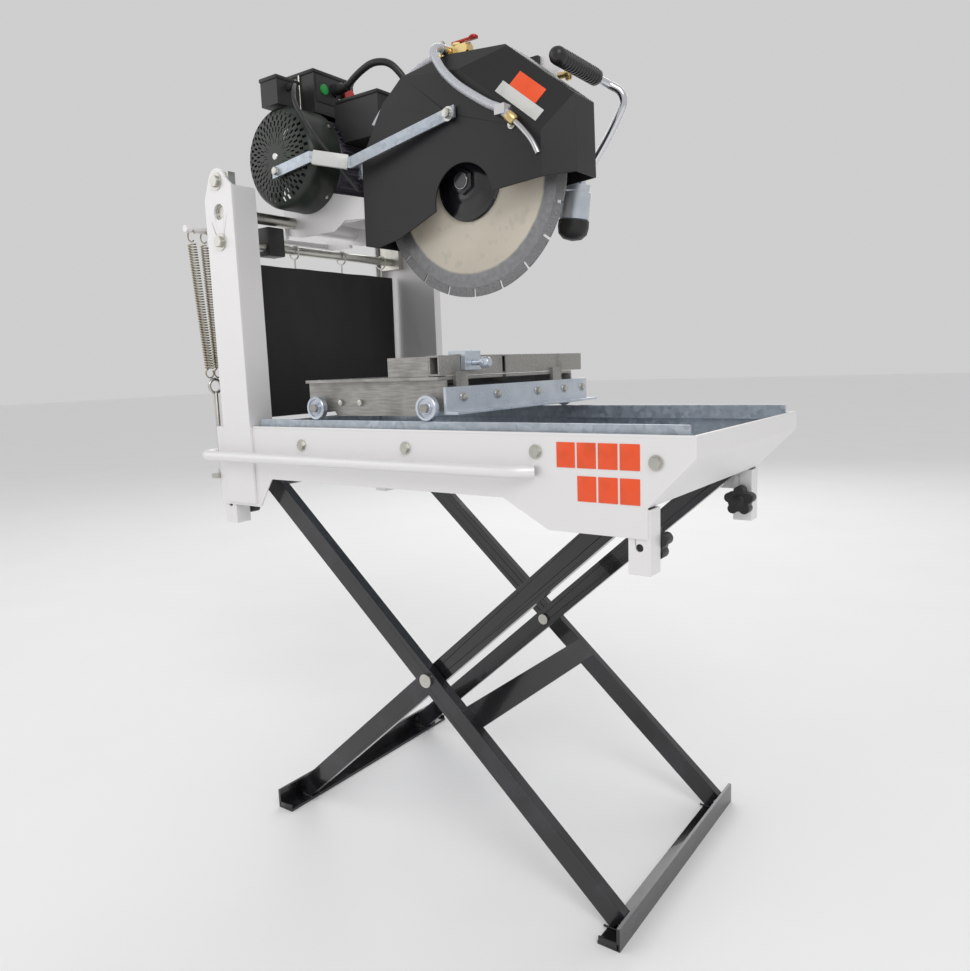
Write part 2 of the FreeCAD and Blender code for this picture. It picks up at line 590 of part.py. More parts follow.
def water():
    top, x, y = 1276, -2, -22
    stem = Part.makeCylinder(6, 28, V(x, y, top - 14)).fuse(Part.makeCylinder(4, 9, V(x, y, top + 13)))
    tee = Part.makeBox(44, 16, 14, V(x - 22, y - 8, top))
    barbs = Part.makeCylinder(6, 40, V(x - 30, y, top + 7), V(1, 0, 0)).fuse(
        Part.makeCylinder(6, 16, V(x - 12, y, top + 7), V(0, -1, 0)))
    keep("water_valve", solid(tee.fuse([stem, barbs]).removeSplitter()))
    keep("valve_lever", cut(box(-10, -27, top + 18.3, 46, 10, 3.5), rod("z", x, y, top + 14, 4.05, 12)))
    rear = bent_bar("rear_hose", [
        (x - 30, y, top + 7), (-56, y, top + 7), (-86, y - 3, top - 3), (-114, y - 10, top - 24),
        (-138, y - 20, top - 50), (-158, y - 30, top - 82)], 6.5)
    front = bent_bar("front_hose", [
        (x - 12, y - 16, top + 7), (x - 12, y - 36, top + 7), (-11, y - 52, top - 4),
        (-1, y - 57, top - 21), (12, y - 58, top - 40), (36, y - 58, top - 64), (68, y - 57, top - 87),
        (96, y - 57, top - 105), (114, y - 58, top - 113.25), (134, y - 58, top - 132)], 6.5)
    keep("water_hoses", solid(Part.makeCompound([rear, front])))
    spray = bent_bar("spray_tube", [
        (134, y - 58, top - 132), (150, y - 58, top - 147), (168, y - 58.5, top - 168),
        (178, y - 59, top - 188)], 4)
    clip = Part.makeBox(18, 20, 14, V(109, y - 66, top - 124)).cut(front)
    keep("spray_tube", solid(Part.makeCompound([spray, clip])))


# ---------------------------------------------------------------- cart
def cart():
    rear, front, low, top = size("cart_rear"), size("cart_front"), size("cart_low"), size("cart_top")
    wheel_rear, wheel_front = size("roller_rear"), size("roller_front")
    outline = [(rear, top), (front, top), (front, low + 8), (wheel_front - 24, low + 8),
               (wheel_front - 30, low), (wheel_rear + 30, low), (wheel_rear + 24, low + 8), (rear, low + 8)]
    holes = [(wheel_rear, size("roller_height"), 4), (wheel_front, size("roller_height"), 4),
             (-139, 740, 4), (-96, 740, 4)]
    pieces = [panel(outline, "-cart_side + 10", "cart_sheet", holes),
              panel(outline, "cart_side - 10 - cart_sheet", "cart_sheet", holes)]
    for x in (-190, -60):
        pieces.append(box(x, "-cart_side + 14", "cart_low + 6", 4, "2 * cart_side - 28", 34))
    for x in ("roller_rear", "roller_front"):
        for start, head in (("-cart_side - 11", "-cart_side - 15"), ("cart_side - 21", "cart_side + 11")):
            pieces.append(fuse(rod("y", x, start, "roller_height", 4, 32),
                               hexagon("y", x, head, "roller_height", 13, 4)))
    keep("cart_frame", group(*pieces))
    table = box("cart_rear + 2", "-cart_side", "cart_top", "cart_front - cart_rear - 8", "2 * cart_side",
                "table_sheet")
    slot = box("cart_rear + 22", "blade_y - 5", "cart_top - 1", "cart_front - cart_rear", 10,
               "table_sheet + 2")
    keep("cart_table", cut(table, slot))
    beam = box("cart_front", "-cart_side + 4", 722, 5, "beam_end + cart_side - 4", 40)
    foot = box("cart_front", "-cart_side + 4", 722, 26, "beam_end + cart_side - 4", 4)
    keep("front_beam", fuse(beam, foot))
    corners = ((x, y) for x in ("roller_rear", "roller_front")
               for y in ("-cart_side - 10.5", "cart_side - 0.5"))
    for number, (x, y) in enumerate(corners, start=1):
        keep("cart_roller_%d" % number, cut(rod("y", x, y, "roller_height", "roller_round", 11),
                                            rod("y", x, y + " - 1", "roller_height", 4.05, 13)))


def fence():
    start, long, bed = "-cart_side + 4", "beam_end + cart_side - 4", "cart_top + table_sheet"
    bar = cut(box("cart_front - 26", start, bed + " + 1", 20, long, "fence_top - cart_top - table_sheet - 1"),
              box("cart_front - 23", start + " - 1", bed + " + 4", 14, long + " + 8",
                  "fence_top - cart_top - table_sheet - 7"),
              box("cart_front - 40", "blade_y - 5", "cart_top", 60, 10, 60))
    bracket = fuse(box("cart_front - 106", start, bed, 80, 4, 30),
                   box("cart_front - 106", start, bed, 80, 40, 1))
    clips = [box("cart_front - 6", y, "cart_top - 30", 6, 30, 42) for y in (-160, 120)]
    keep("fence_bar", group(bar, bracket, *clips))
    block = cut(box("cart_front - 29.3", -140, "fence_top - 29.5", 32.3, 40, 36),
                box("cart_front - 26.3", -141, "fence_top - 40", 20.6, 42, 40.4),
                box("cart_front - 6", -141, "fence_top - 40", 20, 42, 17.5),
                rod("x", "cart_front - 8", -120, "fence_top - 12", 4.05, 16))
    finger = box("cart_front - 100", -118, bed + " + 6", 70.7, 5, 24)
    keep("guide_block", group(block, finger))
    keep("guide_screw", fuse(rod("x", "cart_front - 5.7", -120, "fence_top - 12", 4, 34),
                             rod("x", "cart_front + 20", -120, "fence_top - 12", 11, 14)))


# ---------------------------------------------------------------- folding stand
def stand_tube(start, end, y):
    """A closed rectangular tube between two (X, Z) points, in a plane of constant Y."""
    way = V(end[0] - start[0], 0, end[1] - start[1])
    deep, wide = size("stand_tube"), size("stand_wide")
    tube = Part.makeBox(way.Length, wide, deep, V(0, 0, -deep / 2))
    tube = tube.cut(Part.makeBox(way.Length - 4, wide - 4, deep - 4, V(2, 2, 2 - deep / 2)))
    tube.Placement = FreeCAD.Placement(V(start[0], y, start[1]), FreeCAD.Rotation(V(1, 0, 0), way))
    return tube


def stand():
    cross_x, cross_z = size("cross_x"), size("cross_height")
    slope = math.atan2(size("hinge_height") - cross_z, size("hinge_x") - cross_x)
    reach = math.hypot(size("hinge_height") - cross_z, size("hinge_x") - cross_x)
    wide, foot, gauge = size("stand_wide"), size("foot_half"), size("foot_thick")
    foot_run = (cross_z - size("stand_tube") / 2) / math.tan(slope)
    for name, sign, plane, top_reach in (("rear", -1, size("inner_leg_y"), reach),
                                         ("front", 1, size("outer_leg_y"), size("free_top"))):
        def along(distance):
            """A point on this frame's line, measured upwards from the cross pivot."""
            return cross_x - sign * distance * math.cos(slope), cross_z + distance * math.sin(slope)
        foot_x = cross_x + sign * foot_run
        edge = foot_x + 17 - gauge if sign > 0 else foot_x - 17
        bars = [Part.makeBox(size("foot_wide"), 2 * foot, gauge, V(foot_x - 17, -foot, 0)).fuse(
            Part.makeBox(gauge, 2 * foot, 34, V(edge, -foot, 0)))]
        if sign > 0:
            top_x, top_z = along(top_reach - 12)
            bars.append(drum(top_x, top_z, 9.5, -plane, 2 * plane))
            # an angle braces the front frame a little below the cross pivot
            brace_x, brace_z = along(-92)
            angle = Part.makeBox(40, 2 * plane, 4, V(-20, -plane, 13)).fuse(
                Part.makeBox(4, 2 * plane, 30, V(-20, -plane, -17)))
            angle.Placement = FreeCAD.Placement(V(brace_x, 0, brace_z),
                                                FreeCAD.Rotation(ACROSS, math.degrees(slope)))
            bars.append(angle)
        else:
            top_x, top_z = along(top_reach)
            bars.append(drum(top_x, top_z, size("hinge_rod"), -size("leg_outer"), 2 * size("leg_outer")))
        keep(name + "_stand_bars", solid(Part.makeCompound(bars)))
        holes = [drum(cross_x, cross_z, size("cross_pin") + 0.05, -220, 440)] if sign > 0 else [
            drum(cross_x, cross_z, size("cross_pin"), -220, 440)]
        end = along(top_reach + (12 if sign < 0 else 0))
        tubes = [stand_tube((foot_x, size("stand_tube") / 2), end, low).cut(bars + holes)
                 for low in (-plane - wide, plane)]
        keep(name + "_stand_legs", solid(Part.makeCompound(tubes)))
    pins = []
    inner, outer = size("inner_leg_y"), size("outer_leg_y") + wide + 0.3
    for sign in (-1, 1):
        shank = drum(cross_x, cross_z, size("cross_pin"), inner - 5 if sign > 0 else -outer,
                     outer - inner + 5)
        nut = drum(cross_x, cross_z, 10, inner - 5 if sign > 0 else -inner, 5)
        head = drum(cross_x, cross_z, 11, outer if sign > 0 else -outer - 5, 5)
        pins.append(shank.fuse([nut, head]))
    keep("cross_pins", solid(Part.makeCompound(pins)))


def star_knob(number, x, sign):
    """A five-lobed clamping knob on the inner side of a stub leg."""
    z, thick, radius = size("knob_height"), size("knob_thick"), size("knob_round")
    inner = sign * (size("leg_outer") - size("leg_tube"))
    start = inner - sign - (thick if sign > 0 else 0)
    pieces = [drum(x, z, 5, inner - 2 if sign > 0 else inner - 26, 28)]
    for step in range(5):
        turn = math.radians(72 * step + 18)
        pieces.append(drum(x + radius * 0.66 * math.cos(turn), z + radius * 0.66 * math.sin(turn),
                           radius * 0.34, start, thick))
    knob = drum(x, z, radius * 0.72, start, thick).fuse(pieces)
    keep("star_knob_%d" % number, solid(knob.removeSplitter()))


pan_and_panels()
underframe()
posts()
carry_bar()
pivot_and_tie()
curtain()
springs()
handle_shape = bent_bar("handle_tube", [
    (185, -30, 1231), (185, 40, 1231), (185, 108, 1230), (222, 124, 1206), (190, 122, 1150),
    (150, 116, 1096), (96, 100, 1078)], 6.5, 4.5)
head_arm(handle_shape)
spindle()
guard()
strap()
motor()
drive()
controls()
grip_and_handle(handle_shape)
water()
cart()
fence()
stand()
knob_places = [(size(leg) + size("leg_tube") / 2, side)
               for leg in ("front_leg_x", "rear_leg_x") for side in (-1, 1)]
for count, (knob_x, knob_side) in enumerate(knob_places, start=1):
    star_knob(count, knob_x, knob_side)

doc.recompute()
for item in doc.Objects:
    bad = [state for state in item.State if state in ("Invalid", "Error")]
    if bad:
        raise RuntimeError("%s (%s): %s" % (item.Name, item.Label, bad))
for label, item in parts.items():
    if item.Shape.isNull() or not item.Shape.isValid():
        raise RuntimeError("%s has no valid shape" % label)
os.makedirs("parts", exist_ok=True)
for label, item in sorted(parts.items()):
    item.Shape.exportStep("parts/%s.step" % label)
    print(label, len(item.Shape.Solids), round(item.Shape.Volume))
print(len(parts), "sub-parts")
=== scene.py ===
"""Finishes and fine pieces of a wet masonry saw on a crossed folding stand."""
import json
import math

import bmesh
import bpy
from mathutils import Matrix, Vector


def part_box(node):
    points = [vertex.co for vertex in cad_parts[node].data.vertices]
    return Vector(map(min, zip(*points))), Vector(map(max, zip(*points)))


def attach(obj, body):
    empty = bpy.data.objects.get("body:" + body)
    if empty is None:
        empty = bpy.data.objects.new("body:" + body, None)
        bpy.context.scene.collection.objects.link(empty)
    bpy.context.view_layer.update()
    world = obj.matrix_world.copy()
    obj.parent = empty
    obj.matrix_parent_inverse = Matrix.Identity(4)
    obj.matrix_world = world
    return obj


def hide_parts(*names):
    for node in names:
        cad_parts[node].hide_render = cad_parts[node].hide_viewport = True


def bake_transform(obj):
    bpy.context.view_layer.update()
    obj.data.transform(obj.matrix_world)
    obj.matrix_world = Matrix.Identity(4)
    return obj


bl_info = {
    "name": "Masonry Saw",
    "version": (1, 0, 0),
    "blender": (4, 5, 0),
    "location": "View3D > Sidebar > Saw",
    "description": "Dresses the frame of a masonry saw with its finishes and fine pieces",
    "category": "Object",
}

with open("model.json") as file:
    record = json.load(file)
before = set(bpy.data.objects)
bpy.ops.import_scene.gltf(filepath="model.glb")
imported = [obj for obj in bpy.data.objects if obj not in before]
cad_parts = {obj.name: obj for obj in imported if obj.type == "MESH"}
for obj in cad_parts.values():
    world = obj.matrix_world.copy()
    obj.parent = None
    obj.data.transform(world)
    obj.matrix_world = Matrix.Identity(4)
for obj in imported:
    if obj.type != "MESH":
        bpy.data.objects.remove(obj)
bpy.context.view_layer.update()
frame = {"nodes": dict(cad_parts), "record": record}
MM = 0.001
AXIS = {"X": (Vector((1, 0, 0)), Vector((0, 0, 1))), "Y": (Vector((0, 1, 0)), Vector((0, 0, 1))),
        "Z": (Vector((0, 0, 1)), Vector((1, 0, 0)))}


def middle(node):
    low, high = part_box(node)
    return (low + high) / 2


def mm(*numbers):
    """A point given in millimetres, in metres."""
    return Vector(numbers) * MM


BLADE = middle("diamond_blade")
MOTOR = middle("fan_cover")
BLADE_RADIUS = (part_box("diamond_blade")[1].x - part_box("diamond_blade")[0].x) / 2


# ---------------------------------------------------------------- user settings
class SawSizes(bpy.types.PropertyGroup):
    rim_depth: bpy.props.FloatProperty(
        name="Rim depth", description="Radial depth of the blade's cutting segments",
        default=14 * MM, unit="LENGTH")
    cream_radius: bpy.props.FloatProperty(
        name="Core radius", description="Radius of the blade's painted core",
        default=BLADE_RADIUS - 37 * MM, unit="LENGTH")
    segments: bpy.props.IntProperty(
        name="Segments", description="Number of cutting segments on the blade", default=20, min=6)
    spring_wire: bpy.props.FloatProperty(
        name="Spring wire", description="Wire diameter of the lift springs", default=2.6 * MM, unit="LENGTH")
    spring_turns: bpy.props.IntProperty(
        name="Spring turns", description="Turns of each lift spring", default=48, min=8)
    motor_fins: bpy.props.IntProperty(
        name="Motor fins", description="Cooling fins round the motor barrel", default=40, min=8)
    curtain_ripple: bpy.props.FloatProperty(
        name="Curtain ripple", description="Depth of the curtain's soft waves", default=3.5 * MM,
        unit="LENGTH")
    edge_round: bpy.props.FloatProperty(
        name="Edge rounding", description="Rounding of cut and folded sheet edges", default=0.8 * MM,
        unit="LENGTH")


class SawColours(bpy.types.PropertyGroup):
    frame_white: bpy.props.FloatVectorProperty(
        name="Frame white", description="Powder coat of the frame", subtype="COLOR", size=3,
        default=(0.74, 0.725, 0.725))
    guard_black: bpy.props.FloatVectorProperty(
        name="Guard black", description="Powder coat of the guard", subtype="COLOR", size=3,
        default=(0.006, 0.006, 0.0075))
    mark_orange: bpy.props.FloatVectorProperty(
        name="Mark orange", description="Plain orange blocks on the side", subtype="COLOR", size=3,
        default=(0.86, 0.085, 0.012))
    blade_cream: bpy.props.FloatVectorProperty(
        name="Blade cream", description="Painted core of the blade", subtype="COLOR", size=3,
        default=(0.66, 0.60, 0.50))


def sizes():
    return bpy.context.scene.saw_sizes


def colours():
    return bpy.context.scene.saw_colours


# ---------------------------------------------------------------- shader expressions
class Wire:
    """A shader socket that works in Python arithmetic."""

    def __init__(self, finish, socket):
        self.finish = finish
        self.socket = socket

    def maths(self, operation, *values):
        return self.finish.node("ShaderNodeMath", {"operation": operation}, *values)

    def __add__(self, other):
        return self.maths("ADD", self, other)

    def __sub__(self, other):
        return self.maths("SUBTRACT", self, other)

    def __rsub__(self, other):
        return self.maths("SUBTRACT", other, self)

    def __mul__(self, other):
        return self.maths("MULTIPLY", self, other)

    __radd__ = __add__
    __rmul__ = __mul__

    def root(self):
        return self.maths("SQRT", self)


class Finish:
    """One material: its nodes are added by calls and expressions."""

    def __init__(self, name, rough=0.5, metal=0.0, coat=0.0):
        self.material = bpy.data.materials.new(name)
        self.material.use_nodes = True
        self.tree = self.material.node_tree
        self.shader = self.tree.nodes["Principled BSDF"]
        self.shader.inputs["Roughness"].default_value = rough
        self.shader.inputs["Metallic"].default_value = metal
        self.shader.inputs["Coat Weight"].default_value = coat
        self.place = self.node("ShaderNodeTexCoord", out="Object")

    def feed(self, socket, value):
        if isinstance(value, Wire):
            self.tree.links.new(value.socket, socket)
        elif isinstance(value, (tuple, list)) and len(socket.default_value) == 4:
            socket.default_value = (*value, 1.0)
        else:
            socket.default_value = value

    def node(self, kind, settings=None, *values, out=0, **named):
        made = self.tree.nodes.new(kind)
        for key, setting in (settings or {}).items():
            setattr(made, key, setting)
        for socket, value in zip(made.inputs, values):
            self.feed(socket, value)
        for key, value in named.items():
            self.feed(made.inputs[key.replace("_", " ")], value)
        return Wire(self, made.outputs[out])

    def parts(self):
        """The X, Y and Z of a place on the piece, in metres."""
        split = self.tree.nodes.new("ShaderNodeSeparateXYZ")
        self.feed(split.inputs[0], self.place)
        return [Wire(self, socket) for socket in split.outputs]

    def stretched(self, *scale):
        return self.node("ShaderNodeMapping", {}, Vector=self.place, Scale=scale)

    def noise(self, scale, detail=3.0, place=None):
        return self.node("ShaderNodeTexNoise", {}, Vector=place or self.place, Scale=scale, Detail=detail)

    def cells(self, scale, out="Color"):
        return self.node("ShaderNodeTexVoronoi", {}, out=out, Vector=self.place, Scale=scale)

    def ramp(self, value, low, high):
        """0 below low, 1 above high."""
        return self.node("ShaderNodeMapRange", {"clamp": True}, Value=value, From_Min=low, From_Max=high)

    def mix(self, share, first, second):
        made = self.tree.nodes.new("ShaderNodeMix")
        made.data_type = "RGBA"
        self.feed(made.inputs["Factor"], share)
        for socket, value in ((made.inputs[6], first), (made.inputs[7], second)):
            self.feed(socket, value)
        return Wire(self, made.outputs[2])

    def colour(self, value):
        self.feed(self.shader.inputs["Base Color"], value)

    def rough(self, value):
        self.feed(self.shader.inputs["Roughness"], value)

    def relief(self, height, depth):
        bump = self.node("ShaderNodeBump", {}, Strength=1.0, Distance=depth, Height=height)
        self.feed(self.shader.inputs["Normal"], bump)


def shade(colour, factor):
    return tuple(min(1.0, channel * factor) for channel in colour)


def powder_coat(name, colour, rough, coat, grime):
    """Sprayed and baked paint with a fine orange-peel skin and some grime in the lows."""
    skin = Finish(name, rough, 0.0, coat)
    cloud = skin.ramp(skin.noise(9.0, 5.0), 0.3, 0.75)
    specks = skin.ramp(skin.noise(160.0, 2.0), 0.66, 0.76)
    fresh = skin.mix(cloud, shade(colour, 0.92), shade(colour, 1.06))
    skin.colour(skin.mix(specks * grime, fresh, shade(colour, 0.55)))
    skin.rough(rough + cloud * 0.08 + specks * 0.1)
    skin.relief(skin.noise(900.0, 1.0), 0.00006)
    return skin.material


def white_paint():
    return powder_coat("white_paint", tuple(colours().frame_white), 0.30, 0.25, 0.5)


def guard_paint():
    return powder_coat("guard_paint", tuple(colours().guard_black), 0.42, 0.0, 0.4)


def stand_enamel():
    """Thick glossy black enamel with lighter bluish patches of painted highlight, rougher where they lie."""
    skin = Finish("stand_enamel", 0.2, 0.0, 0.5)
    painted_sheen = skin.ramp(skin.noise(14.0, 6.0), 0.5, 0.72)
    # painted highlight: random lighter bluish patches stand in for reflections on the gloss
    skin.colour(skin.mix(painted_sheen, (0.006, 0.006, 0.007), (0.022, 0.022, 0.028)))
    skin.rough(0.18 + painted_sheen * 0.22)
    skin.relief(skin.noise(420.0, 2.0), 0.00008)
    return skin.material


def galvanised():
    """Hot-dip zinc: crystals of slightly different grey-blue."""
    zinc = Finish("galvanised", 0.36, 0.8)
    crystal = zinc.ramp(zinc.cells(130.0), 0.1, 0.9)
    stain = zinc.ramp(zinc.noise(12.0, 5.0), 0.48, 0.75)
    flakes = zinc.mix(crystal, (0.40, 0.45, 0.51), (0.56, 0.61, 0.67))
    zinc.colour(zinc.mix(stain * 0.5, flakes, (0.33, 0.34, 0.35)))
    zinc.rough(0.28 + crystal * 0.14 + stain * 0.12)
    zinc.relief(zinc.noise(260.0, 2.0), 0.00005)
    return zinc.material


def cart_steel():
    """Warm grey plated steel, rubbed along the cart's travel."""
    steel = Finish("cart_steel", 0.45, 0.55)
    rub = steel.ramp(steel.noise(30.0, 5.0, steel.stretched(1, 12, 12)), 0.4, 0.7)
    dirt = steel.ramp(steel.noise(22.0, 6.0), 0.5, 0.8)
    rubbed = steel.mix(rub, (0.30, 0.29, 0.27), (0.42, 0.41, 0.39))
    steel.colour(steel.mix(dirt * 0.6, rubbed, (0.14, 0.13, 0.12)))
    steel.rough(0.38 + dirt * 0.25)
    steel.relief(rub, 0.00006)
    return steel.material


def bright_plate():
    """Bluish bright zinc on the front beam and guide."""
    plate = Finish("bright_plate", 0.3, 0.75)
    cloud = plate.ramp(plate.noise(18.0, 4.0), 0.35, 0.7)
    plate.colour(plate.mix(cloud, (0.50, 0.55, 0.62), (0.68, 0.72, 0.78)))
    plate.rough(0.24 + cloud * 0.16)
    plate.relief(plate.noise(300.0, 2.0), 0.00005)
    return plate.material


def fastener_zinc():
    zinc = Finish("fastener_zinc", 0.3, 1.0)
    cloud = zinc.noise(60.0, 3.0)
    zinc.colour(zinc.mix(cloud, (0.48, 0.47, 0.43), (0.68, 0.67, 0.62)))
    zinc.rough(0.22 + cloud * 0.2)
    return zinc.material


def chrome():
    bright = Finish("chrome", 0.12, 1.0)
    smear = bright.ramp(bright.noise(25.0, 4.0), 0.45, 0.75)
    bright.colour(bright.mix(smear, (0.70, 0.71, 0.74), (0.58, 0.59, 0.61)))
    bright.rough(0.1 + smear * 0.14)
    return bright.material


def turned_steel():
    """Machined steel with fine tool rings across the shaft."""
    steel = Finish("turned_steel", 0.3, 1.0)
    rings = steel.noise(40.0, 2.0, steel.stretched(1, 60, 1))
    steel.colour(steel.mix(rings, (0.46, 0.46, 0.47), (0.62, 0.62, 0.63)))
    steel.rough(0.22 + rings * 0.16)
    steel.relief(rings, 0.00004)
    return steel.material


def spring_wire():
    wire = Finish("spring_wire", 0.38, 0.9)
    tone = wire.noise(45.0, 4.0)
    wire.colour(wire.mix(tone, (0.26, 0.23, 0.17), (0.50, 0.45, 0.35)))
    wire.rough(0.3 + tone * 0.2)
    return wire.material


def blade_paint():
    """Cream core, dull at its edge, inside a bare steel rim with radial brush marks."""
    disc = Finish("blade_paint", 0.36, 0.0, 0.1)
    across, _, up = disc.parts()
    across, up = across - BLADE.x, up - BLADE.z
    reach = (across * across + up * up).root()
    cloud = disc.ramp(disc.noise(7.0, 5.0), 0.35, 0.7)
    cream = tuple(colours().blade_cream)
    core = disc.mix(cloud, shade(cream, 0.9), shade(cream, 1.08))
    edge = sizes().cream_radius
    scuffs = disc.ramp(disc.noise(55.0, 5.0), 0.58, 0.7)
    core = disc.mix(scuffs * 0.35, core, (0.40, 0.37, 0.33))
    bare = disc.mix(disc.noise(120.0, 3.0), (0.20, 0.20, 0.21), (0.38, 0.38, 0.39))
    rim = disc.ramp(reach + disc.noise(40.0, 3.0) * 0.004, edge, edge + 0.004)
    disc.colour(disc.mix(rim, core, bare))
    disc.feed(disc.shader.inputs["Metallic"], rim * 0.75)
    disc.rough(0.32 + rim * 0.08 + scuffs * 0.1)
    disc.relief(disc.noise(500.0, 2.0), 0.00004)
    return disc.material


def segment_grit():
    """Sintered cutting segments."""
    grit = Finish("segment_grit", 0.6, 0.5)
    grains = grit.cells(1400.0)
    grit.colour(grit.mix(grains, (0.12, 0.12, 0.12), (0.36, 0.36, 0.37)))
    grit.relief(grains, 0.0002)
    return grit.material


def dull_black(name, level, rough, grain, depth):
    """Rubber or moulded plastic: a fine grain and a little dust."""
    skin = Finish(name, rough)
    dust = skin.ramp(skin.noise(10.0, 6.0), 0.45, 0.8)
    skin.colour(skin.mix(dust, (level, level, level), (level * 2.2, level * 2.2, level * 2.3)))
    skin.rough(rough + dust * 0.12)
    skin.relief(skin.noise(grain, 3.0), depth)
    return skin.material


def curtain_rubber():
    return dull_black("curtain_rubber", 0.009, 0.62, 350.0, 0.0002)


def cable_rubber():
    return dull_black("cable_rubber", 0.014, 0.36, 800.0, 0.00005)


def moulded_plastic():
    return dull_black("moulded_plastic", 0.012, 0.42, 1200.0, 0.00012)


def clear_hose():
    """Reinforced silver-grey hose with faint rings."""
    hose = Finish("clear_hose", 0.22, 0.15, 0.4)
    braid = hose.cells(700.0, "Distance")
    hose.colour(hose.mix(braid, (0.62, 0.64, 0.68), (0.36, 0.37, 0.41)))
    hose.relief(braid, 0.00008)
    return hose.material


def motor_enamel():
    """Purple-grey casting enamel over a sand-cast skin."""
    skin = Finish("motor_enamel", 0.42, 0.0, 0.1)
    cloud = skin.ramp(skin.noise(16.0, 5.0), 0.35, 0.75)
    skin.colour(skin.mix(cloud, (0.050, 0.044, 0.060), (0.13, 0.115, 0.15)))
    skin.rough(0.36 + cloud * 0.2)
    skin.relief(skin.noise(320.0, 3.0), 0.00025)
    return skin.material


def cover_green():
    """Greenish black pressed sheet of the fan cover."""
    skin = Finish("cover_green", 0.4, 0.1, 0.1)
    cloud = skin.ramp(skin.noise(20.0, 5.0), 0.4, 0.7)
    skin.colour(skin.mix(cloud, (0.008, 0.012, 0.008), (0.028, 0.038, 0.028)))
    skin.rough(0.34 + cloud * 0.2)
    skin.relief(skin.noise(600.0, 2.0), 0.00006)
    return skin.material


def cast_brass():
    metal = Finish("cast_brass", 0.3, 1.0)
    tarnish = metal.ramp(metal.noise(90.0, 4.0), 0.45, 0.7)
    metal.colour(metal.mix(tarnish, (0.72, 0.52, 0.22), (0.42, 0.30, 0.14)))
    metal.rough(0.24 + tarnish * 0.22)
    return metal.material


def flat_colour(name, colour, rough):
    """Printed or dipped colour with slight wear."""
    skin = Finish(name, rough, 0.0, 0.2)
    wear = skin.ramp(skin.noise(40.0, 5.0), 0.5, 0.8)
    skin.colour(skin.mix(wear, colour, shade(colour, 0.8)))
    skin.rough(rough + wear * 0.12)
    skin.relief(skin.noise(700.0, 2.0), 0.00004)
    return skin.material


# ---------------------------------------------------------------- modelling
def lathe(shape, outline, centre, axis="Y", steps=48):
    """Spins an outline of (radius, distance along the axis), in millimetres."""
    along, out = AXIS[axis]
    ring = [shape.verts.new(centre + out * (radius * MM) + along * (run * MM)) for radius, run in outline]
    lines = [shape.edges.new(pair) for pair in zip(ring, ring[1:])]
    bmesh.ops.spin(shape, geom=ring + lines, cent=centre, axis=along, angle=math.tau, steps=steps,
                   use_merge=True)


def slab(shape, low, high, soft=0.0, turn=None):
    """A box between two corners in millimetres, its edges rounded by soft."""
    low, high = mm(*low), mm(*high)
    corners = bmesh.ops.create_cube(shape, size=1)["verts"]
    bmesh.ops.scale(shape, vec=high - low, verts=corners)
    bmesh.ops.translate(shape, vec=(low + high) / 2, verts=corners)
    if turn is not None:
        bmesh.ops.transform(shape, matrix=turn, verts=corners)
    if soft:
        edges = list({edge for corner in corners for edge in corner.link_edges})
        bmesh.ops.bevel(shape, geom=edges, offset=soft * MM, affect="EDGES", segments=2, profile=0.5,
                        material=-1)


def hexagon(shape, centre, axis, across, deep):
    """A hexagonal head with a turned chamfer, centred on a point in millimetres."""
    turn = AXIS[axis][0].to_track_quat("Z", "Y").to_matrix().to_4x4()
    radius = across * MM / math.sqrt(3)
    made = bmesh.ops.create_cone(shape, cap_ends=True, segments=6, radius1=radius, radius2=radius,
                                 depth=deep * MM, matrix=Matrix.Translation(mm(*centre)) @ turn)
    rims = [edge for edge in {line for corner in made["verts"] for line in corner.link_edges}
            if abs((edge.verts[0].co - edge.verts[1].co).dot(AXIS[axis][0])) < 1e-6]
    bmesh.ops.bevel(shape, geom=rims, offset=across * 0.05 * MM, affect="EDGES", segments=2, profile=0.5,
                    material=-1)


def washer(shape, centre, axis, radius, thick):
    lathe(shape, [(0, 0), (radius, 0), (radius, thick * 0.6), (radius - thick * 0.5, thick), (0, thick)],
          mm(*centre), axis, 28)


def coil(shape, start, end, radius, wire, turns):
    """A close-wound spring between two points, all in metres."""
    steps, length = 12, (end - start).length
    ring = bmesh.ops.create_circle(shape, segments=7, radius=wire / 2, matrix=Matrix.Translation(
        (radius, 0, 0)) @ Matrix.Rotation(math.pi / 2, 4, "X"))["verts"]
    edges = list({edge for vert in ring for edge in vert.link_edges})
    known = set(shape.verts) - set(ring)
    bmesh.ops.spin(shape, geom=ring + edges, cent=(0, 0, 0), axis=(0, 0, 1), angle=math.tau * turns,
                   steps=steps * turns, dvec=(0, 0, length / (steps * turns)))
    made = [vert for vert in shape.verts if vert not in known]
    rims = [edge for edge in shape.edges if edge.is_boundary]
    bmesh.ops.holes_fill(shape, edges=rims, sides=8)
    turn = (end - start).to_track_quat("Z", "X").to_matrix().to_4x4()
    bmesh.ops.transform(shape, matrix=Matrix.Translation(start) @ turn, verts=made)


def hook(shape, centre, radius, wire, turn, first, axis="X"):
    """A bent wire hook: part of a ring about a point, in metres."""
    along, out = AXIS[axis]
    start = Matrix.Rotation(first, 4, along) @ out
    side = start.cross(along).normalized()
    ring = bmesh.ops.create_circle(shape, segments=8, radius=wire / 2, matrix=Matrix.Translation(
        centre + start * radius) @ side.to_track_quat("Z", "Y").to_matrix().to_4x4())["verts"]
    edges = list({edge for vert in ring for edge in vert.link_edges})
    bmesh.ops.spin(shape, geom=ring + edges, cent=centre, axis=along, angle=turn, steps=20)
    bmesh.ops.holes_fill(shape, edges=[edge for edge in shape.edges if edge.is_boundary], sides=9)


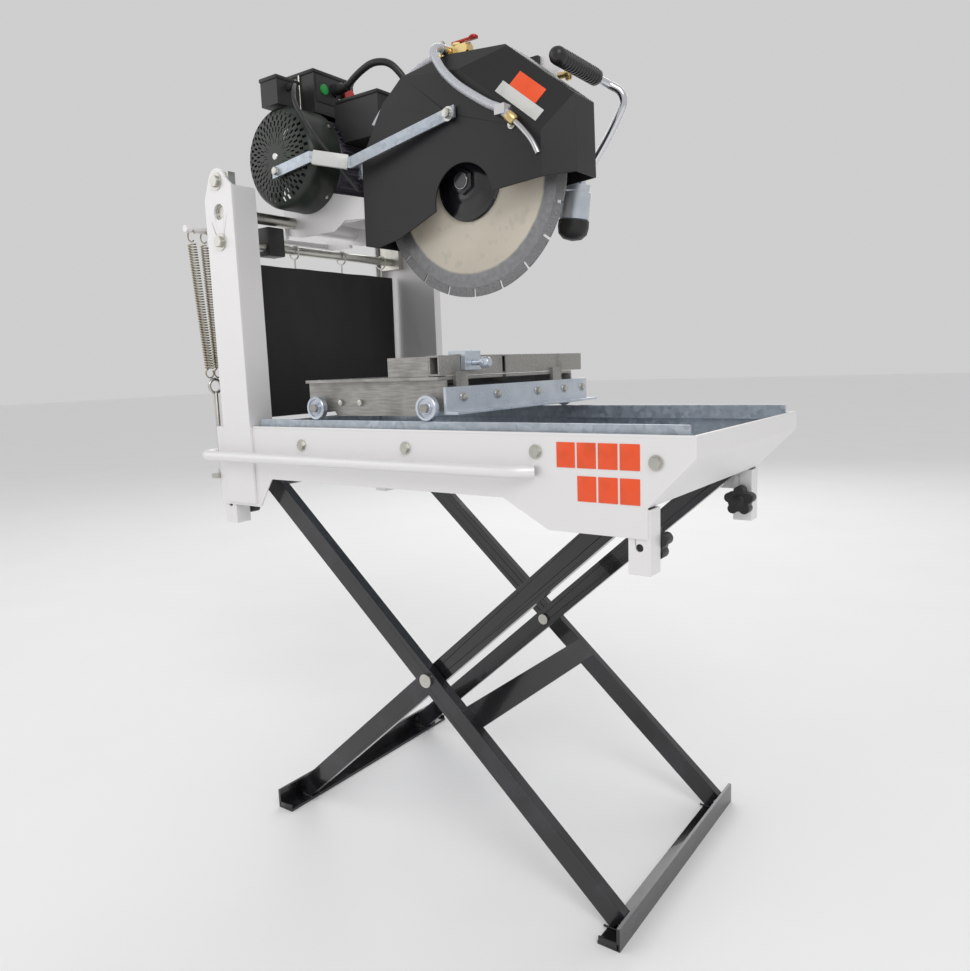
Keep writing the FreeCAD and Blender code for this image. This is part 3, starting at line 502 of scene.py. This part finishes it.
def settle(shape, name, body, finishes, stands_for=(), keen=35, ride=True):
    """Closes a shape into a named piece, with its faces outwards and its sharp edges kept."""
    bmesh.ops.remove_doubles(shape, verts=shape.verts, dist=0.000002)
    bmesh.ops.recalc_face_normals(shape, faces=shape.faces)
    for edge in shape.edges:
        edge.smooth = edge.calc_face_angle(math.pi) < math.radians(keen)
    for face in shape.faces:
        face.smooth = True
    mesh = bpy.data.meshes.new(name)
    shape.to_mesh(mesh)
    shape.free()
    for finish in finishes:
        mesh.materials.append(finish)
    piece = bpy.data.objects.new(name, mesh)
    bpy.context.scene.collection.objects.link(piece)
    if stands_for:
        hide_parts(*stands_for)
    if ride:
        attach(piece, body)
    return piece


def finish_of(name):
    """A material by name, made on first use by the function of that name."""
    return bpy.data.materials.get(name) or MAKERS[name]()


MAKERS = {maker.__name__: maker for maker in (
    white_paint, guard_paint, stand_enamel, galvanised, cart_steel, bright_plate, fastener_zinc, chrome,
    turned_steel, spring_wire, blade_paint, segment_grit, curtain_rubber, cable_rubber, moulded_plastic,
    clear_hose, motor_enamel, cover_green, cast_brass)}
MAKERS["dipped_red"] = lambda: flat_colour("dipped_red", (0.50, 0.02, 0.015), 0.3)
MAKERS["button_green"] = lambda: flat_colour("button_green", (0.02, 0.32, 0.06), 0.3)
MAKERS["mark_orange"] = lambda: flat_colour("mark_orange", tuple(colours().mark_orange), 0.4)
MAKERS["label_white"] = lambda: flat_colour("label_white", (0.62, 0.62, 0.60), 0.35)

SLOT_FINISH = {
    "white_paint": "white_paint", "galvanised_steel": "galvanised", "bright_zinc": "fastener_zinc",
    "bright_steel": "turned_steel", "spring_steel": "spring_wire", "blade_disc": "blade_paint",
    "black_paint": "guard_paint", "fan_cover_green": "cover_green", "motor_grey": "motor_enamel",
    "black_plastic": "moulded_plastic", "black_rubber": "cable_rubber", "silver_hose": "clear_hose",
    "cart_zinc": "cart_steel", "stand_black": "stand_enamel", "chrome_tube": "chrome",
    "cast_brass": "cast_brass", "red_lever": "dipped_red", "green_button": "button_green",
    "red_button": "dipped_red", "roller_steel": "turned_steel",
}
OWN_FINISH = {"front_beam": "bright_plate", "guide_block": "bright_plate"}


# ---------------------------------------------------------------- operators
class SAW_OT_stage(bpy.types.Operator):
    """Floor, backdrop, lights and camera"""
    bl_idname = "saw.stage"
    bl_label = "Stage"

    def execute(self, context):
        ground = Finish("ground", 0.8)
        tone = ground.noise(3.0, 2.0)
        ground.colour(ground.mix(tone, (0.90, 0.90, 0.90), (0.94, 0.94, 0.94)))
        shape = bmesh.new()
        bmesh.ops.create_grid(shape, x_segments=1, y_segments=1, size=30)
        mesh = bpy.data.meshes.new("ground")
        shape.to_mesh(mesh)
        shape.free()
        mesh.materials.append(ground.material)
        floor = bpy.data.objects.new("ground", mesh)
        context.scene.collection.objects.link(floor)
        self.light("key", (2.6, -2.6, 3.4), 62, 2.2, context)
        self.light("fill", (-3.0, -2.4, 2.2), 22, 3.0, context)
        self.light("back", (-1.5, 3.2, 2.8), 40, 2.6, context)
        world = bpy.data.worlds.new("studio")
        world.use_nodes = True
        world.node_tree.nodes["Background"].inputs[0].default_value = (1, 1, 1, 1)
        world.node_tree.nodes["Background"].inputs[1].default_value = 0.62
        context.scene.world = world
        context.scene.view_settings.view_transform = "Standard"
        self.camera(context)
        return {"FINISHED"}

    def light(self, name, place, watts, size, context):
        data = bpy.data.lights.new(name, "AREA")
        data.energy = watts
        data.size = size
        lamp = bpy.data.objects.new(name, data)
        lamp.location = place
        aim = Vector((0, 0, 0.8)) - Vector(place)
        lamp.rotation_euler = aim.to_track_quat("-Z", "Y").to_euler()
        context.scene.collection.objects.link(lamp)

    def camera(self, context):
        yaw, pitch, roll = math.radians(35.73), math.radians(8.45), math.radians(-2.06)
        ahead = Vector((-math.sin(yaw) * math.cos(pitch), math.cos(yaw) * math.cos(pitch), -math.sin(pitch)))
        level = Vector((math.cos(yaw), math.sin(yaw), 0))
        above = level.cross(ahead)
        right = level * math.cos(roll) + above * math.sin(roll)
        up = above * math.cos(roll) - level * math.sin(roll)
        data = bpy.data.cameras.new("camera")
        data.lens = 29.81
        camera = bpy.data.objects.new("camera", data)
        turn = Matrix((right, up, -ahead)).transposed().to_4x4()
        camera.matrix_world = Matrix.Translation((0.8067, -1.1139, 0.7904)) @ turn
        context.scene.collection.objects.link(camera)
        context.scene.camera = camera


class SAW_OT_frame_finishes(bpy.types.Operator):
    """Finishes and rounded edges on the carried-over nodes"""
    bl_idname = "saw.frame_finishes"
    bl_label = "Frame finishes"

    def execute(self, context):
        slots = {row["node"]: row["material_slot"] for row in frame["record"]["subparts"]}
        for name, node in frame["nodes"].items():
            finish = finish_of(OWN_FINISH.get(name) or SLOT_FINISH[slots[name]])
            node.data.materials.clear()
            node.data.materials.append(finish)
            weld = node.modifiers.new("weld", "WELD")
            weld.merge_threshold = 0.00001
            soft = node.modifiers.new("soft edges", "BEVEL")
            soft.width = sizes().edge_round
            soft.segments = 2
            soft.limit_method = "ANGLE"
            soft.angle_limit = math.radians(50)
            soft.use_clamp_overlap = True
            soft.harden_normals = False
        return {"FINISHED"}


class SAW_OT_lift_springs(bpy.types.Operator):
    """The two close-wound lift springs and their end hooks"""
    bl_idname = "saw.lift_springs"
    bl_label = "Lift springs"

    def execute(self, context):
        shape = bmesh.new()
        wire, turns = sizes().spring_wire, sizes().spring_turns
        for low_y, top_y in ((-214, -220), (-196, -194)):
            low, top = mm(-439, low_y, 803), mm(-450, top_y, 1019)
            coil(shape, low, top, 8 * MM - wire / 2, wire, turns)
            hook(shape, low - mm(0, 0, 8), 8 * MM, wire, math.tau * 0.8, 0.3)
            hook(shape, mm(-450, top_y, 1034), 10 * MM, wire, math.tau * 0.8, 2.6, "Y")
        piece = settle(shape, "lift_spring_coils", None, [finish_of("spring_wire")],
                       ["lift_springs"], 60, ride=False)
        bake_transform(piece)
        return {"FINISHED"}


class SAW_OT_curtain(bpy.types.Operator):
    """The black splash curtain, rippled between its hooks"""
    bl_idname = "saw.curtain"
    bl_label = "Splash curtain"

    def execute(self, context):
        low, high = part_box("splash_curtain")
        shape = bmesh.new()
        made = bmesh.ops.create_grid(shape, x_segments=72, y_segments=44, size=0.5)["verts"]
        deep = sizes().curtain_ripple
        for vert in made:
            across, up = vert.co.x + 0.5, vert.co.y + 0.5
            sway = math.sin(across * 17) * (0.35 + 0.65 * (1 - up)) + 0.4 * math.sin(across * 31 + up * 2)
            vert.co = Vector(((low.x + high.x) / 2 + deep * sway, low.y + across * (high.y - low.y),
                              low.z + up * (high.z - low.z)))
        piece = settle(shape, "splash_sheet", "frame", [finish_of("curtain_rubber")],
                       ["splash_curtain"], 60)
        thick = piece.modifiers.new("thickness", "SOLIDIFY")
        thick.thickness = 1.5 * MM
        return {"FINISHED"}


class SAW_OT_blade(bpy.types.Operator):
    """The diamond blade: painted core and separate cutting segments"""
    bl_idname = "saw.blade"
    bl_label = "Diamond blade"

    def execute(self, context):
        shape = bmesh.new()
        radius, depth = BLADE_RADIUS / MM, sizes().rim_depth / MM
        inner = radius - depth
        lathe(shape, [(12.6, -1.4), (inner, -1.4), (inner + 1, -1), (inner + 1, 1), (inner, 1.4),
                      (12.6, 1.4), (12.6, -1.4)], BLADE, "Y", 120)
        count = sizes().segments
        gap, half = 4.5 / radius, 1.7
        for step in range(count):
            known = set(shape.verts)
            first = math.tau * step / count
            section = ((-half, inner - 1), (half, inner - 1), (half, radius), (-half, radius))
            corners = [shape.verts.new(BLADE + Vector((0, side, reach)) * MM) for side, reach in section]
            face = shape.faces.new(corners)
            bmesh.ops.spin(shape, geom=[face] + corners + list(face.edges), cent=BLADE, axis=(0, 1, 0),
                           angle=math.tau / count - gap, steps=6)
            made = [vert for vert in shape.verts if vert not in known]
            bmesh.ops.rotate(shape, cent=BLADE, matrix=Matrix.Rotation(first, 3, "Y"), verts=made)
            for face in {face for vert in made for face in vert.link_faces}:
                face.material_index = 1
        settle(shape, "blade_disc", "spindle", [finish_of("blade_paint"), finish_of("segment_grit")],
               ["diamond_blade"], 30)
        return {"FINISHED"}


class SAW_OT_flanges(bpy.types.Operator):
    """Domed black blade flanges with the arbor nut"""
    bl_idname = "saw.flanges"
    bl_label = "Blade flanges"

    def execute(self, context):
        shape = bmesh.new()
        # distances run along +Y from the blade's own middle plane
        lathe(shape, [(12.6, -1.6), (59.5, -1.6), (59.8, -4), (58, -7), (50, -10), (38, -12.5), (35, -14.5),
                      (24, -16.5), (12.6, -16.5), (12.6, -1.6)], BLADE, "Y", 72)
        lathe(shape, [(12.6, 1.6), (59.8, 1.6), (59.8, 5), (56, 8), (26, 11.5), (12.6, 11.5), (12.6, 1.6)],
              BLADE, "Y", 72)
        at = BLADE / MM
        hexagon(shape, (at.x, at.y - 18.2, at.z), "Y", 36, 9)
        lathe(shape, [(0, -26.6), (11.2, -26.6), (13.2, -25), (13.2, -20), (0, -20)], BLADE, "Y", 36)
        settle(shape, "flange_set", "spindle", [finish_of("stand_enamel")],
               ["blade_flanges"], 30)
        return {"FINISHED"}


class SAW_OT_guard_trim(bpy.types.Operator):
    """Blank labels and bolts of the blade guard"""
    bl_idname = "saw.guard_trim"
    bl_label = "Guard trim"

    def execute(self, context):
        # the front bevel's plane: along its ridge, outwards, and down its slope
        along = Vector((117, 0, -94)).normalized()
        out = Vector((0.211, -0.942, 0.262)).normalized()
        down = out.cross(along).normalized()
        if down.z > 0:
            down = -down
        for name, centre, wide, high, finish in (
                ("guard_label_orange", (147, -56, 1189), 56, 27, "mark_orange"),
                ("guard_label_white", (137, -63, 1172), 88, 19, "label_white")):
            shape = bmesh.new()
            turn = Matrix((along, down, out)).transposed().to_4x4()
            place = Matrix.Translation(mm(*centre)) @ turn
            slab(shape, (-wide / 2, -high / 2, -0.6), (wide / 2, high / 2, 0.8), 0.3, place)
            settle(shape, name, "head", [finish_of(finish)])
        shape = bmesh.new()
        for x, z in ((-100, 1228), (40, 1256), (160, 1204)):
            hexagon(shape, (x, 16.6, z), "Y", 10, 4)
        washer(shape, (126, -68.2, 1140), "Y", 6, -1.2)
        hexagon(shape, (126, -71, 1140), "Y", 8, 4)
        settle(shape, "guard_bolts", "head", [finish_of("fastener_zinc")])
        return {"FINISHED"}


class SAW_OT_motor(bpy.types.Operator):
    """Ribbed motor barrel, end bells, feet bolts and blank plate"""
    bl_idname = "saw.motor"
    bl_label = "Motor"

    def execute(self, context):
        shape = bmesh.new()
        centre = Vector((MOTOR.x, 0, MOTOR.z))
        lathe(shape, [(9.2, -52), (60, -52), (72, -50), (75.5, -46), (75.5, 86), (72, 91), (54, 94),
                      (54, 112), (48, 118), (9.2, 118), (9.2, -52)], centre, "Y", 96)
        axis_x, axis_z = centre.x / MM, centre.z / MM
        # one fin on the barrel's top, copied round it
        slab(shape, (-1.3 + axis_x, -42, axis_z + 73), (1.3 + axis_x, 82, axis_z + 80), 0.5)
        fin = [vert for vert in shape.verts
               if vert.co.z > centre.z + 0.0728 and abs(vert.co.x - centre.x) < 0.002
               and vert.link_faces and -0.043 < vert.co.y < 0.083]
        faces = list({face for vert in fin for face in vert.link_faces if all(v in fin for v in face.verts)})
        edges = list({edge for face in faces for edge in face.edges})
        count = sizes().motor_fins
        bmesh.ops.spin(shape, geom=fin + edges + faces, cent=centre, axis=(0, 1, 0), use_duplicate=True,
                       angle=math.tau * (count - 1) / count, steps=count - 1)
        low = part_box("motor_body")[0]
        x, z = axis_x, low.z / MM
        slab(shape, (x - 31, -36, z + 0.2), (x + 55, 74, z + 22), 3)
        settle(shape, "motor_casting", "head", [finish_of("motor_enamel")], ["motor_body"], 32)
        shape = bmesh.new()
        for y in (-26, 64):
            for side in (-24, 48):
                washer(shape, (x + side, y, z + 22), "Z", 6.5, 1.4)
                hexagon(shape, (x + side, y, z + 26), "Z", 11, 6)
        for turn in (0.5, 2.1, 3.7, 5.3):
            hexagon(shape, (x + 66 * math.cos(turn), 93, axis_z + 66 * math.sin(turn)), "Y", 8, 6)
        for y, high in ((-40, 72), (-26, 66)):
            hexagon(shape, (x + 10, y, axis_z + high + 10), "Z", 7, 5)
        settle(shape, "motor_bolts", "head", [finish_of("fastener_zinc")])
        shape = bmesh.new()
        slab(shape, (x + 72, -6, axis_z - 30), (x + 81.5, 52, axis_z + 4), 0.8)
        settle(shape, "motor_blank_plate", "head", [finish_of("bright_plate")])
        return {"FINISHED"}


class SAW_OT_fan_cover(bpy.types.Operator):
    """Pressed fan cover with real ventilation holes"""
    bl_idname = "saw.fan_cover"
    bl_label = "Fan cover"

    def execute(self, context):
        shape = bmesh.new()
        low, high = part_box("fan_cover")
        centre = Vector((MOTOR.x, 0, MOTOR.z))
        near, far = low.y / MM, high.y / MM
        rings = [(3, near + 0.2), (11, near + 0.2), (19, near + 0.2), (29, near + 0.3), (39, near + 0.6),
                 (49, near + 1.4), (59, near + 2.6), (68, near + 4.4), (76, near + 8), (82, near + 14),
                 (85, near + 22), (85.6, far - 4), (85.9, far)]
        lathe(shape, rings, centre, "Y", 72)
        bmesh.ops.remove_doubles(shape, verts=shape.verts, dist=0.000002)
        chosen = []
        for face in shape.faces:
            spot = face.calc_center_median() - centre
            reach = math.hypot(spot.x, spot.z) / MM
            turn = int((math.atan2(spot.x, spot.z) + math.pi) / (math.tau / 72) + 0.01)
            band = next((number for number, (ring, _) in enumerate(rings) if reach < ring), 0)
            if 3 <= band <= 8 and (turn + band) % 2 == 0 and (band > 4 or turn % 3 != 0):
                chosen.append(face)
        bmesh.ops.inset_individual(shape, faces=chosen, thickness=0.0009, depth=0.0)
        bmesh.ops.delete(shape, geom=chosen, context="FACES")
        piece = settle(shape, "fan_cowl", "head", [finish_of("cover_green")],
                       ["fan_cover"], 40)
        thick = piece.modifiers.new("thickness", "SOLIDIFY")
        thick.thickness = 1.2 * MM
        thick.offset = -1
        shape = bmesh.new()
        lathe(shape, [(0, near - 1.2), (5, near - 1.2), (6, near), (6, near + 1.5), (0, near + 1.5)],
              centre, "Y", 24)
        for turn in (0.6, 2.2, 3.8, 5.4):
            spot = (centre.x / MM + 85 * math.cos(turn), (near + far) / 2 + 26,
                    centre.z / MM + 85 * math.sin(turn))
            hexagon(shape, spot, "Y", 6, 4)
        settle(shape, "fan_cowl_screws", "head", [finish_of("fastener_zinc")])
        return {"FINISHED"}


class SAW_OT_switch_trim(bpy.types.Operator):
    """Lids, seams, hinge and screws of the switch and starter boxes"""
    bl_idname = "saw.switch_trim"
    bl_label = "Switch boxes"

    def execute(self, context):
        shape = bmesh.new()
        slab(shape, (-363, -60, 1309), (-289, 42, 1316), 2.2)
        slab(shape, (-355, -127, 1287), (-309.5, -73, 1294), 2)
        slab(shape, (-258, -42, 1252), (-158, 42, 1259), 2.2)
        slab(shape, (-292.5, -54, 1262), (-289.5, 36, 1306), 1)
        settle(shape, "switch_lids", "head", [finish_of("moulded_plastic")])
        shape = bmesh.new()
        for x, y, z in ((-356, -54, 1317), (-356, 36, 1317), (-296, -54, 1317), (-296, 36, 1317),
                        (-350, -121, 1295), (-315, -79, 1295), (-252, -36, 1260), (-164, 36, 1260)):
            lathe(shape, [(0, 0.9), (2.2, 0.7), (3.2, 0), (3.2, -1.4), (0, -1.4)], mm(x, y, z), "Z", 20)
        lathe(shape, [(0, 0), (1.8, 0), (1.8, 66), (0, 66)], mm(-326, -60, 1244), "Z", 14)
        settle(shape, "switch_screws", "head", [finish_of("fastener_zinc")])
        shape = bmesh.new()
        lathe(shape, [(0, 0), (10, 0), (10, 8), (7.4, 14), (7.2, 24), (6.2, 24), (6.2, 0)],
              mm(-281, -8, 1290), "X", 28)
        lathe(shape, [(0, 0), (6.5, 0), (6.5, 4), (4.8, 9), (4.4, 14), (3.7, 14), (3.7, 0)],
              mm(-311, -100, 1278), "X", 24)
        settle(shape, "cable_glands", "head", [finish_of("moulded_plastic")])
        return {"FINISHED"}


class SAW_OT_water_trim(bpy.types.Operator):
    """Hexagons, barbs and clips of the brass water fittings"""
    bl_idname = "saw.water_trim"
    bl_label = "Water fittings"

    def execute(self, context):
        shape = bmesh.new()
        for x in (-24, 20):
            hexagon(shape, (x, -22, 1283), "X", 15, 8)
        hexagon(shape, (-2, -22, 1292), "Z", 17, 5)
        lathe(shape, [(0, 0), (11, 0), (11, 3), (9, 5), (0, 5)], mm(-2, -22, 1269.5), "Z", 28)
        lathe(shape, [(0, 0), (7.4, 0), (7.4, -6), (6.8, -8), (0, -8)], mm(-30, -22, 1283), "X", 24)
        lathe(shape, [(0, 0), (7.4, 0), (7.4, -6), (6.8, -8), (0, -8)], mm(-14, -32, 1283), "Y", 24)
        known = set(shape.verts)
        lathe(shape, [(0, -8), (8, -8), (8, 4), (6, 7), (0, 7)], Vector(), "X", 24)
        made = [vert for vert in shape.verts if vert not in known]
        turn = Matrix.Translation(mm(134, -80, 1144)) @ Matrix.Rotation(math.radians(43.2), 4, "Y")
        bmesh.ops.transform(shape, matrix=turn, verts=made)
        settle(shape, "brass_hexagons", "head", [finish_of("cast_brass")])
        shape = bmesh.new()
        clip = [(6.5, -3.5), (7.9, -3.5), (7.9, 3.5), (6.5, 3.5), (6.5, -3.5)]
        lathe(shape, clip, mm(-44, -22, 1283), "X", 28)
        slab(shape, (-47, -26, 1290), (-41, -18, 1294), 0.6)
        lathe(shape, clip, mm(-14, -46, 1283), "Y", 28)
        slab(shape, (-18, -49, 1290), (-10, -43, 1294), 0.6)
        settle(shape, "hose_clips", "head", [finish_of("fastener_zinc")])
        shape = bmesh.new()
        slab(shape, (-10.2, -27.2, 1294.4), (36.2, -16.8, 1297.8), 1.3)
        lathe(shape, [(0, -1), (7.5, -1), (7.5, 0.5), (6, 2), (0, 2)], mm(30, -22, 1297.6), "Z", 24)
        settle(shape, "valve_tap", "valve_lever", [finish_of("dipped_red")], ["valve_lever"])
        return {"FINISHED"}


class SAW_OT_handle(bpy.types.Operator):
    """Ribbed hand grip, its clamp and the small fittings behind the guard"""
    bl_idname = "saw.handle"
    bl_label = "Handle"

    def execute(self, context):
        shape = bmesh.new()
        low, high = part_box("hand_grip")
        start, end = low.y / MM, high.y / MM
        outline = [(0, start), (5, start + 0.6), (10, start + 3.5), (12.6, start + 9), (13, start + 15)]
        run = start + 20
        while run < end - 14:
            outline += [(13, run), (11.7, run + 1.2), (11.7, run + 3.2), (13, run + 4.4)]
            run += 8
        outline += [(13, end - 9), (13, end - 3), (11.5, end), (6.5, end), (6.5, end - 1)]
        lathe(shape, outline, Vector(((low.x + high.x) / 2, 0, (low.z + high.z) / 2)), "Y", 40)
        settle(shape, "ribbed_grip", "head", [finish_of("cable_rubber")], ["hand_grip"], 40)
        shape = bmesh.new()
        slab(shape, (101, 14, 1222), (105, 66, 1250), 1)
        slab(shape, (101, 58, 1217), (136, 62, 1275), 1.5)
        settle(shape, "handle_plate", "head", [finish_of("white_paint")])
        shape = bmesh.new()
        slab(shape, (76, 52, 1247), (101, 68, 1275), 2)
        settle(shape, "handle_block", "head", [finish_of("moulded_plastic")])
        shape = bmesh.new()
        lathe(shape, [(0, 0), (5, 0), (5, 14), (8, 14), (8, 20), (0, 20)], mm(134, 60, 1237), "X", 24)
        slab(shape, (146, 56, 1227), (156, 64, 1247), 3)
        settle(shape, "brass_wing_screw", "head", [finish_of("cast_brass")])
        shape = bmesh.new()
        turn = Matrix.Translation(mm(156, 66, 1040)) @ Matrix.Rotation(math.radians(8), 4, "Y")
        lathe(shape, [(0, -26), (20, -26), (23.5, -22), (23.5, 18), (21, 21), (21, 30), (0, 30)],
              Vector(), "Z", 48)
        lathe(shape, [(0, 30), (9, 30), (9, 42), (0, 42)], Vector(), "Z", 24)
        bmesh.ops.transform(shape, matrix=turn, verts=shape.verts)
        slab(shape, (36, 58, 1068), (172, 74, 1078), 2)
        settle(shape, "stop_cylinder", "head", [finish_of("bright_plate")])
        shape = bmesh.new()
        lathe(shape, [(0, -24), (24.5, -24), (25, -34), (23, -45), (15, -53), (0, -56)], Vector(), "Z", 48)
        bmesh.ops.transform(shape, matrix=turn, verts=shape.verts)
        settle(shape, "stop_cylinder_cap", "head", [finish_of("moulded_plastic")])
        return {"FINISHED"}


class SAW_OT_brace_trim(bpy.types.Operator):
    """White clip sleeve and bolts on the guard brace"""
    bl_idname = "saw.brace_trim"
    bl_label = "Brace trim"

    def execute(self, context):
        shape = bmesh.new()
        first, second = mm(-176, -96, 1132), mm(-232, -134, 1144)
        way = (first - second).normalized()
        side = way.cross(Vector((0, 0, 1))).normalized()
        turn = Matrix((way, side, side.cross(way) * -1)).transposed().to_4x4()
        place = Matrix.Translation((first + second) / 2) @ turn
        slab(shape, (-30, -4.2, -11.5), (30, 4.2, 11.5), 1.8, place)
        settle(shape, "brace_sleeve", "head", [finish_of("label_white")])
        shape = bmesh.new()
        washer(shape, (15, -75.5, 1175), "Y", 10, -1.6)
        hexagon(shape, (15, -80.5, 1175), "Y", 13, 7)
        hexagon(shape, (-308, -144.5, 1132), "Y", 12, 6)
        settle(shape, "brace_bolts", "head", [finish_of("fastener_zinc")])
        return {"FINISHED"}


class SAW_OT_rollers(bpy.types.Operator):
    """Turned cart rollers with recessed faces"""
    bl_idname = "saw.rollers"
    bl_label = "Cart rollers"

    def execute(self, context):
        half = [(4.1, 5.5), (9, 5.5), (9.6, 5), (9.6, 2.6), (14, 2.6), (14.6, 5.3), (18, 5.5), (19, 4.4)]
        outline = [(radius, -run) for radius, run in half] + half[::-1] + [(4.1, -5.5)]
        for number in (1, 2, 3, 4):
            shape = bmesh.new()
            lathe(shape, outline, middle("cart_roller_%d" % number), "Y", 64)
            settle(shape, "turned_roller_%d" % number, "roller_%d" % number, [finish_of("bright_plate")],
                   ["cart_roller_%d" % number], 30)
        return {"FINISHED"}


class SAW_OT_cart_trim(bpy.types.Operator):
    """Bolts and wing lever on the cart"""
    bl_idname = "saw.cart_trim"
    bl_label = "Cart trim"

    def execute(self, context):
        shape = bmesh.new()
        for x in (-139, -96):
            for y, deep in ((-186.5, -4), (186.5, 4)):
                hexagon(shape, (x, y + deep / 2, 740), "Y", 9, 5)
        for y in (-150, -60, 60, 150, 215):
            hexagon(shape, (82.5, y, 746), "X", 10, 5)
            washer(shape, (80, y, 746), "X", 7.5, 1.4)
        for x in (-190, -120, -50, 20):
            for y in (-185, 185):
                lathe(shape, [(0, 0.9), (3, 0.6), (4.6, 0), (4.6, -1), (0, -1)], mm(x, y, 777), "Z", 22)
        settle(shape, "cart_bolts", "cart", [finish_of("fastener_zinc")])
        shape = bmesh.new()
        at = middle("guide_screw") / MM
        low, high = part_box("guide_screw")
        end = high.x / MM
        start = low.x / MM
        lathe(shape, [(0, start), (4, start), (4, end - 14), (8, end - 14), (8, end - 3), (6, end), (0, end)],
              Vector((0, at.y * MM, at.z * MM)), "X", 32)
        slab(shape, (end - 11, at.y - 10.5, at.z - 3), (end - 5, at.y + 10.5, at.z + 3), 2.2)
        settle(shape, "clamp_lever", "guide_screw", [finish_of("bright_plate")],
               ["guide_screw"])
        return {"FINISHED"}


class SAW_OT_panel_trim(bpy.types.Operator):
    """Plain orange blocks, washers and folded hems on the pan sides"""
    bl_idname = "saw.panel_trim"
    bl_label = "Panel trim"

    def execute(self, context):
        shape = bmesh.new()
        for first, low in ((277, 657), (307, 614)):
            for x in range(first, 397, 30):
                slab(shape, (x, -216.9, low), (x + 27, -215.4, low + 33), 0.4)
        settle(shape, "orange_blocks", "frame", [finish_of("mark_orange")])
        shape = bmesh.new()
        for x, z in ((-208, 672), (18, 674), (245, 676), (415, 668)):
            for y, thick in ((-216, -1.6), (216, 1.6)):
                washer(shape, (x, y, z), "Y", 9, thick)
        for z in (1112, 1014):
            for y, thick in ((-221, -1.8), (221, 1.8)):
                washer(shape, (-368, y, z), "Y", 13, thick)
        settle(shape, "panel_washers", "frame", [finish_of("fastener_zinc")])
        shape = bmesh.new()
        slab(shape, (-384, -131, 998), (-352, -95, 1048), 2.5)
        settle(shape, "tilt_stop_block", "frame", [finish_of("moulded_plastic")])
        shape = bmesh.new()
        for side in (-1, 1):
            # the folded hem along the top
            y = side * 214.5
            slab(shape, (-330, y - 2.2, 697.5), (462, y + 2.2, 701.8), 1.6)
        slab(shape, (460, -214, 697.5), (465, 214, 701.8), 1.6)
        settle(shape, "panel_hems", "frame", [finish_of("white_paint")])
        return {"FINISHED"}


class SAW_OT_stand_trim(bpy.types.Operator):
    """Weld beads and plastic plugs of the folding stand"""
    bl_idname = "saw.stand_trim"
    bl_label = "Stand trim"

    def execute(self, context):
        for body, node, legs in (("front_stand", "front_stand_bars", (-186, 186)),
                                 ("frame", "rear_stand_bars", (-168, 168))):
            low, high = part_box(node)
            sign = 1 if body == "front_stand" else -1
            foot = 19 + sign * 327.8
            shape = bmesh.new()
            for y in legs:
                for edge in (-8.5, 8.5):
                    for step in range(9):
                        x = foot - sign * (step * 3.2 - 4)
                        made = bmesh.ops.create_icosphere(shape, subdivisions=1, radius=2.2 * MM)["verts"]
                        bmesh.ops.translate(shape, vec=mm(x, y + edge, 6.2), verts=made)
            settle(shape, body + "_weld_beads", body, [finish_of("stand_enamel")], (), 80)
            shape = bmesh.new()
            for y in (low.y / MM, high.y / MM):
                inward = 1 if y < 0 else -1
                near, far = sorted((y, y + inward * 3))
                slab(shape, (foot - 16.5, near, 0.4), (foot + 16.5, far, 12), 1.2)
            settle(shape, body + "_foot_ends", body, [finish_of("stand_enamel")])
        return {"FINISHED"}


class SAW_OT_knobs(bpy.types.Operator):
    """Caps on the four star knobs"""
    bl_idname = "saw.knobs"
    bl_label = "Knob caps"

    def execute(self, context):
        for number in (1, 2, 3, 4):
            low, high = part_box("star_knob_%d" % number)
            centre = middle("star_knob_%d" % number)
            out = 1 if centre.y < 0 else -1
            face = high.y if out > 0 else low.y
            shape = bmesh.new()
            lathe(shape, [(0, -2 * out), (10.5, -2 * out), (10.5, out), (8, 2.6 * out), (0, 3 * out)],
                  Vector((centre.x, face, 0.560)), "Y", 32)
            settle(shape, "knob_cap_%d" % number, "knob_%d" % number, [finish_of("moulded_plastic")])
        return {"FINISHED"}


PIECES = (
    SAW_OT_stage, SAW_OT_frame_finishes, SAW_OT_lift_springs, SAW_OT_curtain, SAW_OT_blade, SAW_OT_flanges,
    SAW_OT_guard_trim, SAW_OT_motor, SAW_OT_fan_cover, SAW_OT_switch_trim, SAW_OT_water_trim, SAW_OT_handle,
    SAW_OT_brace_trim, SAW_OT_rollers, SAW_OT_cart_trim, SAW_OT_panel_trim, SAW_OT_stand_trim, SAW_OT_knobs)


class SAW_PT_panel(bpy.types.Panel):
    """The saw's pieces and settings"""
    bl_label = "Masonry Saw"
    bl_idname = "SAW_PT_panel"
    bl_space_type = "VIEW_3D"
    bl_region_type = "UI"
    bl_category = "Saw"

    def draw(self, context):
        for piece in PIECES:
            self.layout.operator(piece.bl_idname)
        for group in (context.scene.saw_sizes, context.scene.saw_colours):
            for name in group.__annotations__:
                self.layout.prop(group, name)


def register():
    for item in (SawSizes, SawColours, *PIECES, SAW_PT_panel):
        bpy.utils.register_class(item)
    bpy.types.Scene.saw_sizes = bpy.props.PointerProperty(type=SawSizes)
    bpy.types.Scene.saw_colours = bpy.props.PointerProperty(type=SawColours)


def unregister():
    del bpy.types.Scene.saw_colours
    del bpy.types.Scene.saw_sizes
    for item in (SAW_PT_panel, *reversed(PIECES), SawColours, SawSizes):
        bpy.utils.unregister_class(item)


def main():
    register()
    for piece in PIECES:
        group, name = piece.bl_idname.split(".")
        getattr(getattr(bpy.ops, group), name)()


if __name__ == "__main__":
    main()
